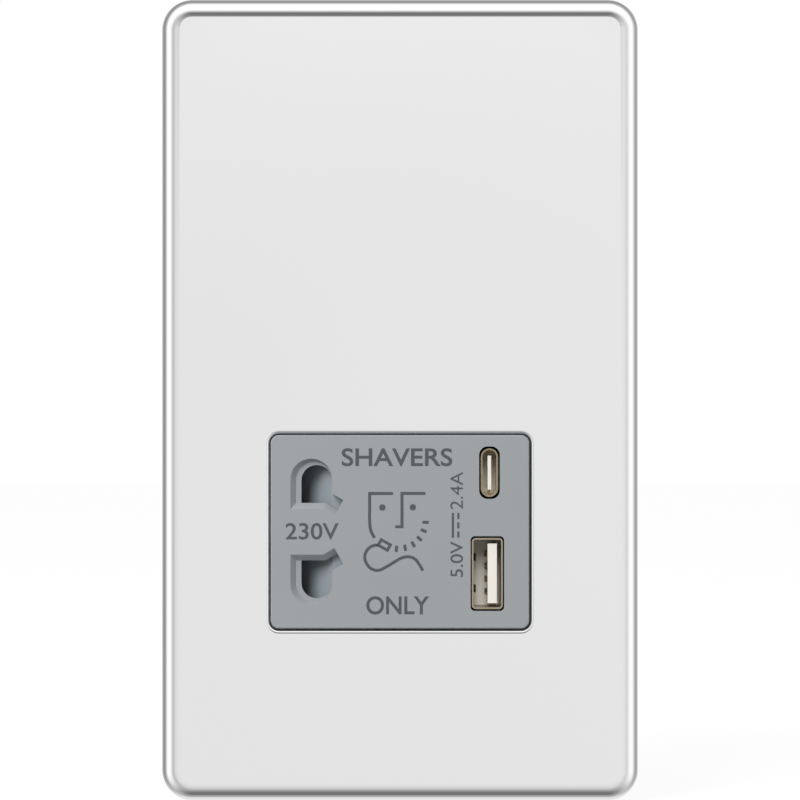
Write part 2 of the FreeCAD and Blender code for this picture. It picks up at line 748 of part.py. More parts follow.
def aperture(side, left, low, tip, blade_low):
    """Outline of a pin aperture: an arch that meets an angled blade slot.

    Side is 1 above the middle of the front and -1 below it.
    """
    turn = "blade_angle"

    def blade(reach, across):
        x = "(blade_centre_x + (%s) * cos(%s) + (%s) * sin(%s))" % (reach, turn, across, turn)
        y = "(blade_centre_rise - (%s) * sin(%s) + (%s) * cos(%s))" % (reach, turn, across, turn)
        return x, y

    # Where the slot's upper edge meets the arch's right side
    upper_reach = "(hole_right - blade_centre_x - blade_high * sin(%s)) / cos(%s)" % (turn, turn)
    upper = ("hole_right", blade(upper_reach, "blade_high")[1])
    # Where the slot's lower edge meets the flat side
    lower_reach = "(blade_centre_rise - %s * cos(%s) - (%s)) / sin(%s)" % (blade_low, turn, low, turn)
    lower = (blade(lower_reach, "-" + blade_low)[0], low)
    tip_high = blade("blade_reach", "blade_high")
    tip_low = blade("blade_reach", "-" + blade_low)
    radius = "((hole_right - %s) / 2)" % left
    spring_line = "(%s - %s)" % (tip, radius)
    centre_x = "((hole_right + %s) / 2)" % left

    def draw(sketch):
        def spot(x, y):
            return FreeCAD.Vector(number(x), number(rise("%d * (%s)" % (side, y))), 0)
        chain = [("hole_right", spring_line), upper, tip_high, tip_low, lower, (left, low),
                 (left, spring_line)]
        first = sketch.GeometryCount
        for index in range(len(chain) - 1):
            sketch.addGeometry(Part.LineSegment(spot(*chain[index]), spot(*chain[index + 1])), False)
        circle = Part.Circle(spot(centre_x, spring_line), FreeCAD.Vector(0, 0, 1), number(radius))
        turn = 0 if side > 0 else math.pi
        last = sketch.addGeometry(Part.ArcOfCircle(circle, turn, turn + math.pi), False)
        for index in range(len(chain) - 2):
            sketch.addConstraint(Sketcher.Constraint("Coincident", first + index, 2, first + index + 1, 1))
        for index, (x, y) in enumerate(chain[:-1]):
            place(sketch, first + index, 1, x, rise("%d * (%s)" % (side, y)))
        place(sketch, last - 1, 2, chain[-1][0], rise("%d * (%s)" % (side, chain[-1][1])))
        # The arc runs anticlockwise, so its ends swap below the middle
        left_end, right_end = (2, 1) if side > 0 else (1, 2)
        sketch.addConstraint(Sketcher.Constraint("Coincident", last, left_end, last - 1, 2))
        sketch.addConstraint(Sketcher.Constraint("Coincident", last, right_end, first, 1))
        level = rise("%d * (%s)" % (side, spring_line))
        index = sketch.addConstraint(Sketcher.Constraint("DistanceY", last, 3, number(level)))
        sketch.setExpression("Constraints[%d]" % index, bound(level))
    return draw


def boss_places():
    """The four screw places of the contact carrier."""
    return [(x, rise("%d * boss_rise" % side)) for x in ("-boss_x", "boss_right_x") for side in (1, -1)]


def post_places():
    """The three screw places of the charging board."""
    return [("post_left_x", rise("post_left_rise")), ("post_left_x", rise("-post_left_rise")),
            ("post_right_x", rise("post_right_rise"))]


def socket_front():
    """Grey moulded front with the pin and port apertures, guides and bosses."""
    made = body("socket_front")
    face = rounded_box("0", "window_rise", INSERT_HALF, INSERT_RISE, "window_corner - insert_gap")
    add(made, "front_block", [face], "carrier_floor", FACE_FRONT)
    dress(made, "front_edge", "Fillet", "insert_edge",
          lambda edge: at(edge.CenterOfMass.y, "-(%s)" % FACE_FRONT))
    flange = rounded_box("0", "window_rise", FLANGE_HALF, FLANGE_RISE, "window_corner + flange_ease")
    add(made, "flange", [flange], "carrier_floor", FLANGE_FRONT)
    add(made, "skirt", [middle_box("0", "window_rise", SKIRT_HALF, SKIRT_RISE)],
        "-skirt_reach", "carrier_floor + bury")
    cut(made, "hollow", [middle_box("0", "window_rise", SKIRT_HALF + " - skirt_wall",
                                    SKIRT_RISE + " - skirt_wall")], "-skirt_reach - overshoot", FACE_BACK)
    into_face = "(%s) + bury" % FACE_BACK
    rail_middle = "(shutter_half + slide_gap + rail_wall / 2)"
    rails = []
    for side in (1, -1):
        level = rise("%d * %s" % (side, rail_middle))
        rails.append(box("hole_left - rail_lead", "boss_right_x", level + " - rail_wall / 2",
                         level + " + rail_wall / 2"))
    add(made, "rails", rails, BASE_FRONT, into_face)
    add(made, "bosses", [disc(x, z, "boss_radius") for x, z in boss_places()], BASE_FRONT, into_face)
    add(made, "board_posts", [disc(x, z, "post_radius") for x, z in post_places()],
        USB_BOARD_FRONT, into_face)
    stop = middle_box("spine_left - slide_gap - stop_half", "window_rise", "stop_half",
                      "tail_half + stop_reach")
    add(made, "shutter_stop", [stop], SHUTTER_BACK + " + stop_back", into_face)
    wall = box("spring_wall_x", "spring_wall_x + spring_wall", rise("-tail_half"), rise("tail_half"))
    add(made, "spring_wall", [wall], "spring_out - spring_radius - spring_wall_reach", into_face)
    add(made, "spring_peg", [disc("-spring_out", "window_rise", "peg_radius")],
        "spring_wall_x - peg_length", "spring_wall_x + bury / 2", role="YZ_Plane")
    shrouds = [middle_box("usb_a_x", rise("usb_a_rise"), "usb_a_window_width / 2 + shroud_wall",
                          "usb_a_window_height / 2 + shroud_wall"),
               middle_box("usb_c_x", rise("usb_c_rise"), "usb_c_window_width / 2 + shroud_wall",
                          "usb_c_window_height / 2 + shroud_wall")]
    add(made, "port_shrouds", shrouds, "(%s) - shroud_depth" % FACE_BACK, into_face)
    through = "(%s) - shroud_depth - overshoot" % FACE_BACK
    windows = [rounded_box("usb_a_x", rise("usb_a_rise"), "usb_a_window_width / 2",
                           "usb_a_window_height / 2", "usb_a_window_corner"),
               rounded_box("usb_c_x", rise("usb_c_rise"), "usb_c_window_width / 2",
                           "usb_c_window_height / 2", "usb_c_window_width * window_round_share")]
    cut(made, "port_windows", windows, through, "(%s) + overshoot" % FACE_FRONT)
    for side in (1, -1):
        mouth = aperture(side, "mouth_left", "mouth_low", "mouth_tip", "blade_mouth_low")
        ledge = aperture(side, "ledge_left", "hole_low", "ledge_tip", "blade_hole_low")
        hole = aperture(side, "hole_left", "hole_low", "hole_tip", "blade_hole_low")
        top = sketch_on(made, "mouth_top", "XZ_Plane", FACE_FRONT, [mouth])
        foot = sketch_on(made, "mouth_foot", "XZ_Plane", "(%s) - mouth_depth" % FACE_FRONT, [ledge])
        slope = made.newObject("PartDesign::SubtractiveLoft", "mouth_slope")
        slope.Profile = top
        slope.Sections = [(foot, [""])]
        slope.Ruled = True
        cut(made, "pin_hole", [hole], "(%s) - overshoot" % FACE_BACK, "(%s) - mouth_depth / 2" % FACE_FRONT)
    small = "(small_screw_radius + thread_gap)"
    cut(made, "boss_bores", [disc(x, z, small) for x, z in boss_places()],
        "(%s) - overshoot" % BASE_FRONT, "(%s) + small_screw_length - base_plate + bore_room" % BASE_FRONT)
    cut(made, "post_bores", [disc(x, z, small) for x, z in post_places()],
        "(%s) - overshoot" % USB_BOARD_FRONT,
        "(%s) + small_screw_length - board_sheet + bore_room" % USB_BOARD_FRONT)
    for side in (1, -1):
        root = "%d * (%s) + (window_rise)" % (side, SKIRT_RISE)
        tip = "%d * (%s + hook_reach) + (window_rise)" % (side, SKIRT_RISE)
        inside = "%d * (%s - wedge_bite) + (window_rise)" % (side, SKIRT_RISE)
        wedge = path(("wedge_start", inside), ("wedge_start", tip), ("wedge_flat", tip), ("skirt_reach", root),
                     ("skirt_reach", inside))
        for x in ("-window_width / 4", "window_width / 4"):
            add(made, "hook", [wedge], "%s - hook_width / 2" % x, "%s + hook_width / 2" % x, role="YZ_Plane")
    return made


def shutter():
    """Sliding safety shutter: two ramped fingers, a spine and a cammed tail."""
    made = body("shutter")
    back = "-(%s)" % SHUTTER_BACK
    front = "-(%s)" % SHUTTER_FRONT
    left = "hole_left - ramp_cover"
    finger = path((left, back), (left, back + " - ramp_toe"), ("ramp_top", front), ("spine_left", front),
                  ("spine_left", back))
    add(made, "upper_finger", [finger], rise("finger_low"), rise("shutter_half"), role="XY_Plane")
    spine = box("spine_left", "spine_left + spine_width", rise("-shutter_half"), rise("shutter_half"))
    add(made, "spine", [spine], SHUTTER_BACK, SHUTTER_FRONT)
    add(made, "lower_finger", [finger], rise("-shutter_half"), rise("-finger_low"), role="XY_Plane")
    tail = box("spine_left + spine_width - bury / 2", "tail_right", rise("-tail_half"), rise("tail_half"))
    add(made, "tail", [tail], SHUTTER_BACK, SHUTTER_FRONT)
    start = "(switch_x - shutter_travel - cam_toe)"
    end = "(tail_right + overshoot)"
    groove = path((start, back + " + sliver"), (end, back + " + sliver"),
                  (end, back + " - (%s - %s) * cam_slope" % (end, start)))
    cut(made, "cam_groove", [groove], rise("-cam_half"), rise("cam_half"), role="XY_Plane")
    add(made, "tail_peg", [disc("-spring_out", "window_rise", "peg_radius")],
        "tail_right - bury / 2", "tail_right + peg_length", role="YZ_Plane")
    return made


def shutter_spring():
    """Coil spring that holds the shutter closed."""
    made = body("shutter_spring")
    wire = "spring_wire"
    start = "tail_right + spring_wire + thread_gap"
    room = "spring_wall_x - tail_right - 2 * spring_wire - 2 * thread_gap"
    section = sketch_on(made, "wire", "XY_Plane", "window_rise", [disc(start, "spring_radius", wire)])
    section.setExpression("AttachmentOffset.Base.y", bound("-spring_out"))
    coil = made.newObject("PartDesign::AdditiveHelix", "coil")
    coil.Profile = section
    coil.ReferenceAxis = (section, ["H_Axis"])
    coil.Mode = "pitch-height-angle"
    coil.setExpression("Pitch", bound("(%s) / spring_turns" % room))
    coil.setExpression("Height", bound(room))
    return made


def contact_carrier():
    """Moulded cell block behind the shutter, closed by its own front plate."""
    made = body("contact_carrier")
    add(made, "cover", [box("base_left", "base_right", rise("-base_half"), rise("base_half"))],
        BASE_BACK, BASE_FRONT)
    cells = box("cell_left - cell_wall", "cell_right + cell_wall", rise("-cell_high - cell_wall"),
                rise("cell_high + cell_wall"))
    add(made, "cell_block", [cells], CELL_BACK, "(%s) + bury / 2" % BASE_BACK)
    rooms = [box("cell_left", "cell_right", rise("cell_low"), rise("cell_high")),
             box("cell_left", "cell_right", rise("-cell_high"), rise("-cell_low"))]
    cut(made, "cells", rooms, "(%s) + cell_floor" % CELL_BACK, "(%s) + overshoot" % BASE_FRONT)
    cut(made, "head_reliefs", [disc(x, z, "small_head_radius + 2 * pin_gap") for x, z in boss_places()[:2]],
        "(%s) - overshoot" % CELL_BACK, BASE_BACK)
    between = box("cell_left", "cell_right", rise("cell_wall - cell_low"), rise("cell_low - cell_wall"))
    cut(made, "lightening", [between], "(%s) - overshoot" % CELL_BACK, "(%s) - overshoot" % BASE_BACK)
    slots = [middle_box("(cell_left + cell_right) / 2", rise("%d * (cell_low + cell_high) / 2" % side),
                        "tag_width / 2 + contact_gap", "contact_sheet / 2 + contact_gap")
             for side in (1, -1)]
    cut(made, "tag_slots", slots, "(%s) - overshoot" % CELL_BACK, "(%s) + cell_floor + overshoot" % CELL_BACK)
    window = middle_box("switch_x", "window_rise", "plunger_round + 2 * pin_gap",
                        "plunger_half + 2 * pin_gap")
    cut(made, "plunger_window", [window], "(%s) - overshoot" % BASE_BACK, "(%s) + overshoot" % BASE_FRONT)
    cut(made, "screw_holes", [disc(x, z, "small_screw_radius + pin_gap") for x, z in boss_places()],
        "(%s) - overshoot" % BASE_BACK, "(%s) + overshoot" % BASE_FRONT)
    return made


def pin_contact(name, side):
    """Spring contact bent from one brass strip, with a tag to the main board."""
    made = body(name)
    middle = "((cell_left + cell_right) / 2)"
    mouth_y = "-(%s) + mouth_back" % BASE_BACK
    pinch_y = "-(%s) + pinch_back" % BASE_BACK
    inner_y = "-(%s) - cell_floor - contact_gap - contact_sheet" % CELL_BACK
    outer_y = "-(%s) - cell_floor - contact_gap" % CELL_BACK

    def spot(hand, reach, y):
        return ("%s + %d * (%s)" % (middle, hand, reach), y)
    strip = path(
        spot(-1, "contact_mouth + contact_sheet", mouth_y),
        spot(-1, "contact_pinch + contact_sheet", pinch_y),
        spot(-1, "contact_base + contact_sheet", outer_y), spot(1, "contact_base + contact_sheet", outer_y),
        spot(1, "contact_pinch + contact_sheet", pinch_y), spot(1, "contact_mouth + contact_sheet", mouth_y),
        spot(1, "contact_mouth", mouth_y), spot(1, "contact_pinch", pinch_y),
        spot(1, "contact_base", inner_y), spot(-1, "contact_base", inner_y),
        spot(-1, "contact_pinch", pinch_y), spot(-1, "contact_mouth", mouth_y))
    centre = rise("%d * (cell_low + cell_high) / 2" % side)
    add(made, "strip", [strip], centre + " - contact_width / 2", centre + " + contact_width / 2",
        role="XY_Plane")
    add(made, "tag", [middle_box(middle, centre, "tag_width / 2", "contact_sheet / 2")],
        "(%s) - pin_stand" % MAIN_BOARD_BACK, "-(%s)" % inner_y)
    return made


def microswitch():
    """Small switch: a moulded body, a plunger that the cam presses, and pins."""
    case = body("switch_body")
    half = "switch_width / 2"
    add(case, "case", [middle_box("switch_x", "window_rise", half, "switch_length / 2")],
        USB_BOARD_FRONT, SWITCH_FRONT)
    tip = "(%s + (switch_x - (switch_x - shutter_travel - cam_toe)) * cam_slope" % SHUTTER_BACK
    tip += " - (plunger_round + cam_gap) * sqrt(1 + cam_slope * cam_slope) + plunger_round)"
    foot = tip + " - plunger_length"
    collar_top = foot + " + collar_height"
    cut(case, "plunger_slot", [middle_box("switch_x", "window_rise", "plunger_round + pin_gap",
                                          "plunger_half + pin_gap")],
        foot, "(%s) + overshoot" % SWITCH_FRONT)
    room = middle_box("switch_x", "window_rise", "plunger_round + plunger_collar + pin_gap",
                      "plunger_half + plunger_collar + pin_gap")
    cut(case, "collar_room", [room], foot + " - plunger_room", collar_top + " + pin_gap")
    plunger = body("switch_plunger")
    crown = tip + " - plunger_round"
    add(plunger, "collar", [middle_box("switch_x", "window_rise", "plunger_round + plunger_collar",
                                       "plunger_half + plunger_collar")], foot, collar_top)
    add(plunger, "stem", [middle_box("switch_x", "window_rise", "plunger_round", "plunger_half")],
        collar_top + " - bury / 2", crown)
    add(plunger, "crown", [disc("switch_x", "-(%s)" % crown, "plunger_round")],
        rise("-plunger_half"), rise("plunger_half"), role="XY_Plane")
    pins = body("switch_pins")
    spots = [rise("%d * switch_length * switch_pin_share" % side) for side in (-1, 0, 1)]
    bar = "(%s) - pin_stand" % USB_BOARD_BACK
    heads = [middle_box("switch_x", spot, "pin_width / 2", "pin_width / 4") for spot in spots]
    sketches = add(pins, "pins", heads[:1], bar, USB_BOARD_FRONT)
    repeat(pins, "pin_row", sketches, "Z_Axis", "switch_length * switch_pin_share", 3)
    return case, plunger, pins


def charging_board():
    """Upright circuit board that carries the two ports and the switch."""
    made = body("charging_board")
    add(made, "laminate", [box("usb_board_left", "usb_board_right", rise("-usb_board_half"),
                               rise("usb_board_half"))], USB_BOARD_BACK, USB_BOARD_FRONT)
    behind, before = "(%s) - overshoot" % USB_BOARD_BACK, "(%s) + overshoot" % USB_BOARD_FRONT
    cut(made, "screw_holes", [disc(x, z, "small_screw_radius + pin_gap") for x, z in post_places()],
        behind, before)
    slots = [middle_box("switch_x", rise("%d * switch_length * switch_pin_share" % side),
                        "pin_width / 2 + pin_gap",
                        "pin_width / 4 + pin_gap") for side in (-1, 0, 1)]
    hole_half = "pin_width / 2 + pin_gap"
    slots += [middle_box(x, z, hole_half, hole_half) for x, z in link_places()]
    cut(made, "pin_slots", slots, behind, before)
    return made


def link_places():
    """The four pins that join the two boards."""
    return [("usb_board_left + link_inset", rise("link_low + %d * link_pitch" % step)) for step in range(4)]


def board_link():
    """Row of square pins in a plastic strip between the boards."""
    strip = body("link_strip")
    low, high = rise("link_low - link_pitch / 2"), rise("link_low + 3.5 * link_pitch")
    left = "usb_board_left + link_inset - link_pitch / 2"
    add(strip, "strip", [box(left, left + " + link_pitch", low, high)],
        "(%s) - link_pitch" % USB_BOARD_BACK, USB_BOARD_BACK)
    cut(strip, "strip_holes", [middle_box(x, z, "pin_width / 2 + pin_gap / 2", "pin_width / 2 + pin_gap / 2")
                               for x, z in link_places()],
        "(%s) - link_pin_reach" % USB_BOARD_BACK, "(%s) + overshoot" % USB_BOARD_BACK)
    pins = body("link_pins")
    start = "(%s) - pin_stand" % MAIN_BOARD_BACK
    end = "(%s) + pin_stand" % USB_BOARD_FRONT
    x, z = link_places()[0]
    first = add(pins, "pin", [middle_box(x, z, "pin_width / 2", "pin_width / 2")], start, end)
    repeat(pins, "pin_row", first, "Z_Axis", "link_pitch", 4)
    return strip, pins


def ports():
    """The two charging ports: folded steel shells and moulded tongues."""
    mouth = "(%s) - port_recess" % FACE_FRONT
    tongue_tip = "(%s) - port_recess - tongue_recess" % FACE_FRONT
    heel = "(%s) - port_recess - plug_depth" % FACE_FRONT
    fit = "port_sheet + thread_gap"
    shell_a = body("usb_a_shell")
    half, tall = "usb_a_width / 2", "usb_a_height / 2"
    middle = rise("usb_a_rise")
    add(shell_a, "tube", [rounded_box("usb_a_x", middle, half, tall, "usb_a_corner"),
                          rounded_box("usb_a_x", middle, half + " - port_sheet", tall + " - port_sheet",
                                      "usb_a_corner - port_sheet")], USB_BOARD_FRONT, mouth)
    window_y = "-(%s) + spring_window_start" % mouth, "-(%s) + spring_window_end" % mouth
    for side in (1, -1):
        window_z = middle + " + %d * spring_window_rise" % side
        window = box(window_y[0], window_y[1], window_z + " - spring_window_half",
                     window_z + " + spring_window_half")
        cut(shell_a, "spring_window", [window], "usb_a_x - usb_a_width", "usb_a_x", role="YZ_Plane")
    tongue_a = body("usb_a_tongue")
    add(tongue_a, "heel", [rounded_box("usb_a_x", middle, half + " - (%s)" % fit, tall + " - (%s)" % fit,
                                       "usb_a_corner - port_sheet")], USB_BOARD_FRONT, heel)
    add(tongue_a, "tongue", [middle_box("usb_a_x + usb_a_tongue_x", middle, "usb_a_tongue / 2",
                                        "usb_a_tongue_height / 2")], heel + " - bury", tongue_tip)
    shell_c = body("usb_c_shell")
    half, tall = "usb_c_width / 2", "usb_c_height / 2"
    middle_c = rise("usb_c_rise")
    round_c = "(usb_c_width / 2 - usb_c_flat)"
    add(shell_c, "tube", [rounded_box("usb_c_x", middle_c, half, tall, round_c),
                          rounded_box("usb_c_x", middle_c, half + " - port_sheet", tall + " - port_sheet",
                                      round_c + " - port_sheet")], USB_BOARD_FRONT, mouth)
    inner = body("usb_c_tongue")
    add(inner, "heel", [rounded_box("usb_c_x", middle_c, half + " - (%s)" % fit, tall + " - (%s)" % fit,
                                    round_c + " - (%s)" % fit)], USB_BOARD_FRONT, heel + " + usb_c_heel_stand")
    add(inner, "tongue", [middle_box("usb_c_x", middle_c, "usb_c_tongue / 2", "usb_c_tongue_height / 2")],
        heel + " + usb_c_heel_stand - bury", tongue_tip)
    blades_a = body("usb_a_contacts")
    face_x = "usb_a_x + usb_a_tongue_x - usb_a_tongue / 2"
    blade_low = middle + " - 1.5 * blade_pitch - blade_width / 2"
    blade = box(face_x + " - blade_sheet", face_x, blade_low, blade_low + " + blade_width")
    first = add(blades_a, "blade", [blade], heel, tongue_tip + " - blade_setback")
    repeat(blades_a, "blade_row", first, "Z_Axis", "blade_pitch", 4)
    return shell_a, tongue_a, shell_c, inner, blades_a


def board_parts():
    """The larger parts soldered to the two boards."""
    behind = USB_BOARD_BACK
    coil_x, coil_z = "usb_coil_x", rise("usb_coil_rise")
    core = body("charger_core")
    half = "usb_core_width / 2"
    depth = "usb_core_depth / 2"
    start, end = "(%s) - usb_coil_height - 2 * coil_stand" % behind, "(%s) - coil_stand" % behind
    add(core, "ring", [middle_box(coil_x, coil_z, half, depth)], start, end)
    cut(core, "windows", [box(coil_x + " - %s + usb_core_leg * yoke_share" % half,
                              coil_x + " - usb_core_leg * leg_share",
                              coil_z + " - core_cut_reach", coil_z + " + core_cut_reach"),
                          box(coil_x + " + usb_core_leg * leg_share",
                              coil_x + " + %s - usb_core_leg * yoke_share" % half,
                              coil_z + " - core_cut_reach", coil_z + " + core_cut_reach")],
        start + " + usb_core_leg * yoke_share", end + " - usb_core_leg * yoke_share")
    coil = body("charger_coil")
    low = start + " + usb_core_leg * yoke_share + pin_gap"
    high = end + " - usb_core_leg * yoke_share - pin_gap"
    wide = half + " - usb_core_leg * yoke_share - pin_gap"
    leg_gap = "usb_core_leg * leg_share + pin_gap"
    add(coil, "turns", [rounded_box(coil_x, coil_z, wide, depth + " + coil_swell", "usb_core_leg / 2")],
        low, high)
    cut(coil, "eye", [middle_box(coil_x, coil_z, leg_gap, depth + " + pin_gap")],
        low + " - overshoot", high + " + overshoot")
    add(coil, "foot", [middle_box(coil_x, coil_z, half + " - foot_inset", depth + " + foot_reach"),
                       middle_box(coil_x, coil_z, half + " - foot_eye_inset", depth + " + foot_eye_reach")],
        "%s - foot_sheet" % behind, behind)
    cheeks = [box(coil_x + " - cheek_half", coil_x + " + cheek_half", coil_z + " + " + near,
                  coil_z + " + " + far)
              for near, far in (("(%s + cheek_near)" % depth, "(%s + cheek_far)" % depth),
                                ("-(%s + cheek_far)" % depth, "-(%s + cheek_near)" % depth))]
    add(coil, "cheeks", cheeks, high + " - cheek_root", behind)
    return [core, coil] + round_parts()


def round_parts():
    """Capacitors, fuse, surge disc and control chip."""
    behind = USB_BOARD_BACK
    made = []
    for name in ("large_capacitor", "small_capacitor", "fuse"):
        x, height, radius, tall = [name + ending for ending in ("_x", "_rise", "_radius", "_height")]
        can = body(name)
        add(can, "can", [disc(x, rise(height), radius)], "(%s) - %s" % (behind, tall), behind)
        dress(can, "can_edge", "Fillet", "capacitor_edge",
              lambda edge, back=behind, deep=tall: at(edge.CenterOfMass.y, "-((%s) - %s)" % (back, deep)))
        made.append(can)
    surge = body("surge_disc")
    front = MAIN_BOARD_FRONT
    add(surge, "disc", [disc("-(%s) - surge_radius - surge_stand" % front, rise("surge_rise"),
                             "surge_radius")],
        "surge_x - surge_width", "surge_x", role="YZ_Plane")
    dress(surge, "disc_edge", "Fillet", "surge_width * surge_edge_share", lambda edge: edge.Closed)
    legs = [middle_box("surge_x - surge_width / 2", rise("surge_rise + %s" % move), "surge_leg_half",
                       "surge_leg_half")
            for move in ("-2", "2")]
    add(surge, "legs", legs, front, "(%s) + surge_leg_reach" % front)
    made.append(surge)
    chip = body("control_chip")
    add(chip, "chip", [middle_box("chip_x", rise("chip_rise"), "chip_width / 2", "chip_length / 2")],
        "(%s) - chip_height" % behind, behind)
    made.append(chip)
    return made


def main_board():
    """Circuit board behind the sockets, with a neck under the transformer."""
    made = body("main_board")
    outline = path(("-main_board_half", "main_board_low"), ("main_board_half", "main_board_low"),
                   ("main_board_half", "main_board_high"), ("board_neck_half", "main_board_high"),
                   ("board_neck_half", "board_neck_high"), ("-board_neck_half", "board_neck_high"),
                   ("-board_neck_half", "main_board_high"), ("-main_board_half", "main_board_high"))
    add(made, "laminate", [outline], MAIN_BOARD_BACK, MAIN_BOARD_FRONT)
    behind, before = "(%s) - overshoot" % MAIN_BOARD_BACK, "(%s) + overshoot" % MAIN_BOARD_FRONT
    cut(made, "screw_holes", [disc(x, z, "board_screw_radius + pin_gap") for x, z in board_screw_places()],
        behind, before)
    half = "pin_width / 2 + pin_gap"
    slots = [middle_box(x, z, half, half) for x, z in link_places() + rail_pin_places() + pole_places()]
    slots += [middle_box("(cell_left + cell_right) / 2", rise("%d * (cell_low + cell_high) / 2" % side),
                         "tag_width / 2 + pin_gap", "contact_sheet / 2 + pin_gap") for side in (1, -1)]
    cut(made, "pin_slots", slots, behind, before)
    return made


def board_screw_places():
    """The four screw places of the main board."""
    levels = ("board_post_low", "board_post_high")
    return [("%d * board_post_x" % side, level) for side in (1, -1) for level in levels]


def rail_pin_places():
    """The pins of the transformer's bobbin."""
    return [("%d * rail_pin_pitch" % step, "rail_pin_rise") for step in (-2, -1, 0, 1, 2)]


def pole_places():
    """The middle of each terminal."""
    return [("%d * pole_pitch" % step, "(block_low + block_high) / 2") for step in (-1, 0, 1)]


def terminals():
    """Three screw terminals in a moulded block at the foot of the board."""
    block = body("terminal_block")
    back = "(%s) - block_depth" % MAIN_BOARD_BACK
    add(block, "block", [box("-block_half", "block_half", "block_low", "block_high")], back, MAIN_BOARD_BACK)
    room = "cage_width / 2 + cage_fit", "cage_height / 2 + cage_fit"
    cage_front = "(%s) - cage_setback" % MAIN_BOARD_BACK
    cage_back = cage_front + " - cage_depth"
    cut(block, "cage_rooms", [middle_box(x, z, room[0], room[1]) for x, z in pole_places()],
        cage_back + " - cage_fit", "(%s) + overshoot" % MAIN_BOARD_BACK)
    cut(block, "screw_wells", [disc(x, z, "pole_head_radius + pole_screw_room") for x, z in pole_places()],
        back + " - overshoot", cage_back)
    wire_y = "-(%s) + wire_setback" % cage_front
    mouths = [disc(x, wire_y, "wire_radius + wire_room") for x, z in pole_places()]
    cut(block, "wire_mouths", mouths, "block_low - overshoot", "(block_low + block_high) / 2", role="XY_Plane")
    cage = body("terminal_cages")
    x, z = pole_places()[0]
    first = add(cage, "cage", [middle_box(x, z, "cage_width / 2", "cage_height / 2")], cage_back, cage_front)
    pin = add(cage, "cage_pin", [middle_box(x, z, "pin_width / 2", "pin_width / 2")],
              cage_front + " - bury / 2", "(%s) + pin_stand" % MAIN_BOARD_FRONT)
    bore = cut(cage, "wire_bore", [disc(x, wire_y, "wire_radius")], "%s - cage_height" % z,
               "%s + cage_height" % z, role="XY_Plane")
    tap = cut(cage, "screw_bore", [disc(x, z, "pole_screw_radius + thread_gap")],
              cage_back + " - overshoot", cage_front + " - wire_setback")
    pattern = repeat(cage, "cage_row", first, "X_Axis", "pole_pitch", 3)
    pattern.Originals = [first, pin, bore, tap]
    seat = cage_back + " - pole_head_stand"
    length = "cage_depth - wire_setback - wire_radius + pole_head_stand + pole_screw_bite"
    bolts = screws("terminal_screws", pole_places(), seat, "pole_head_radius", "pole_head",
                   "pole_screw_radius", length, point=-1)
    return block, cage, bolts


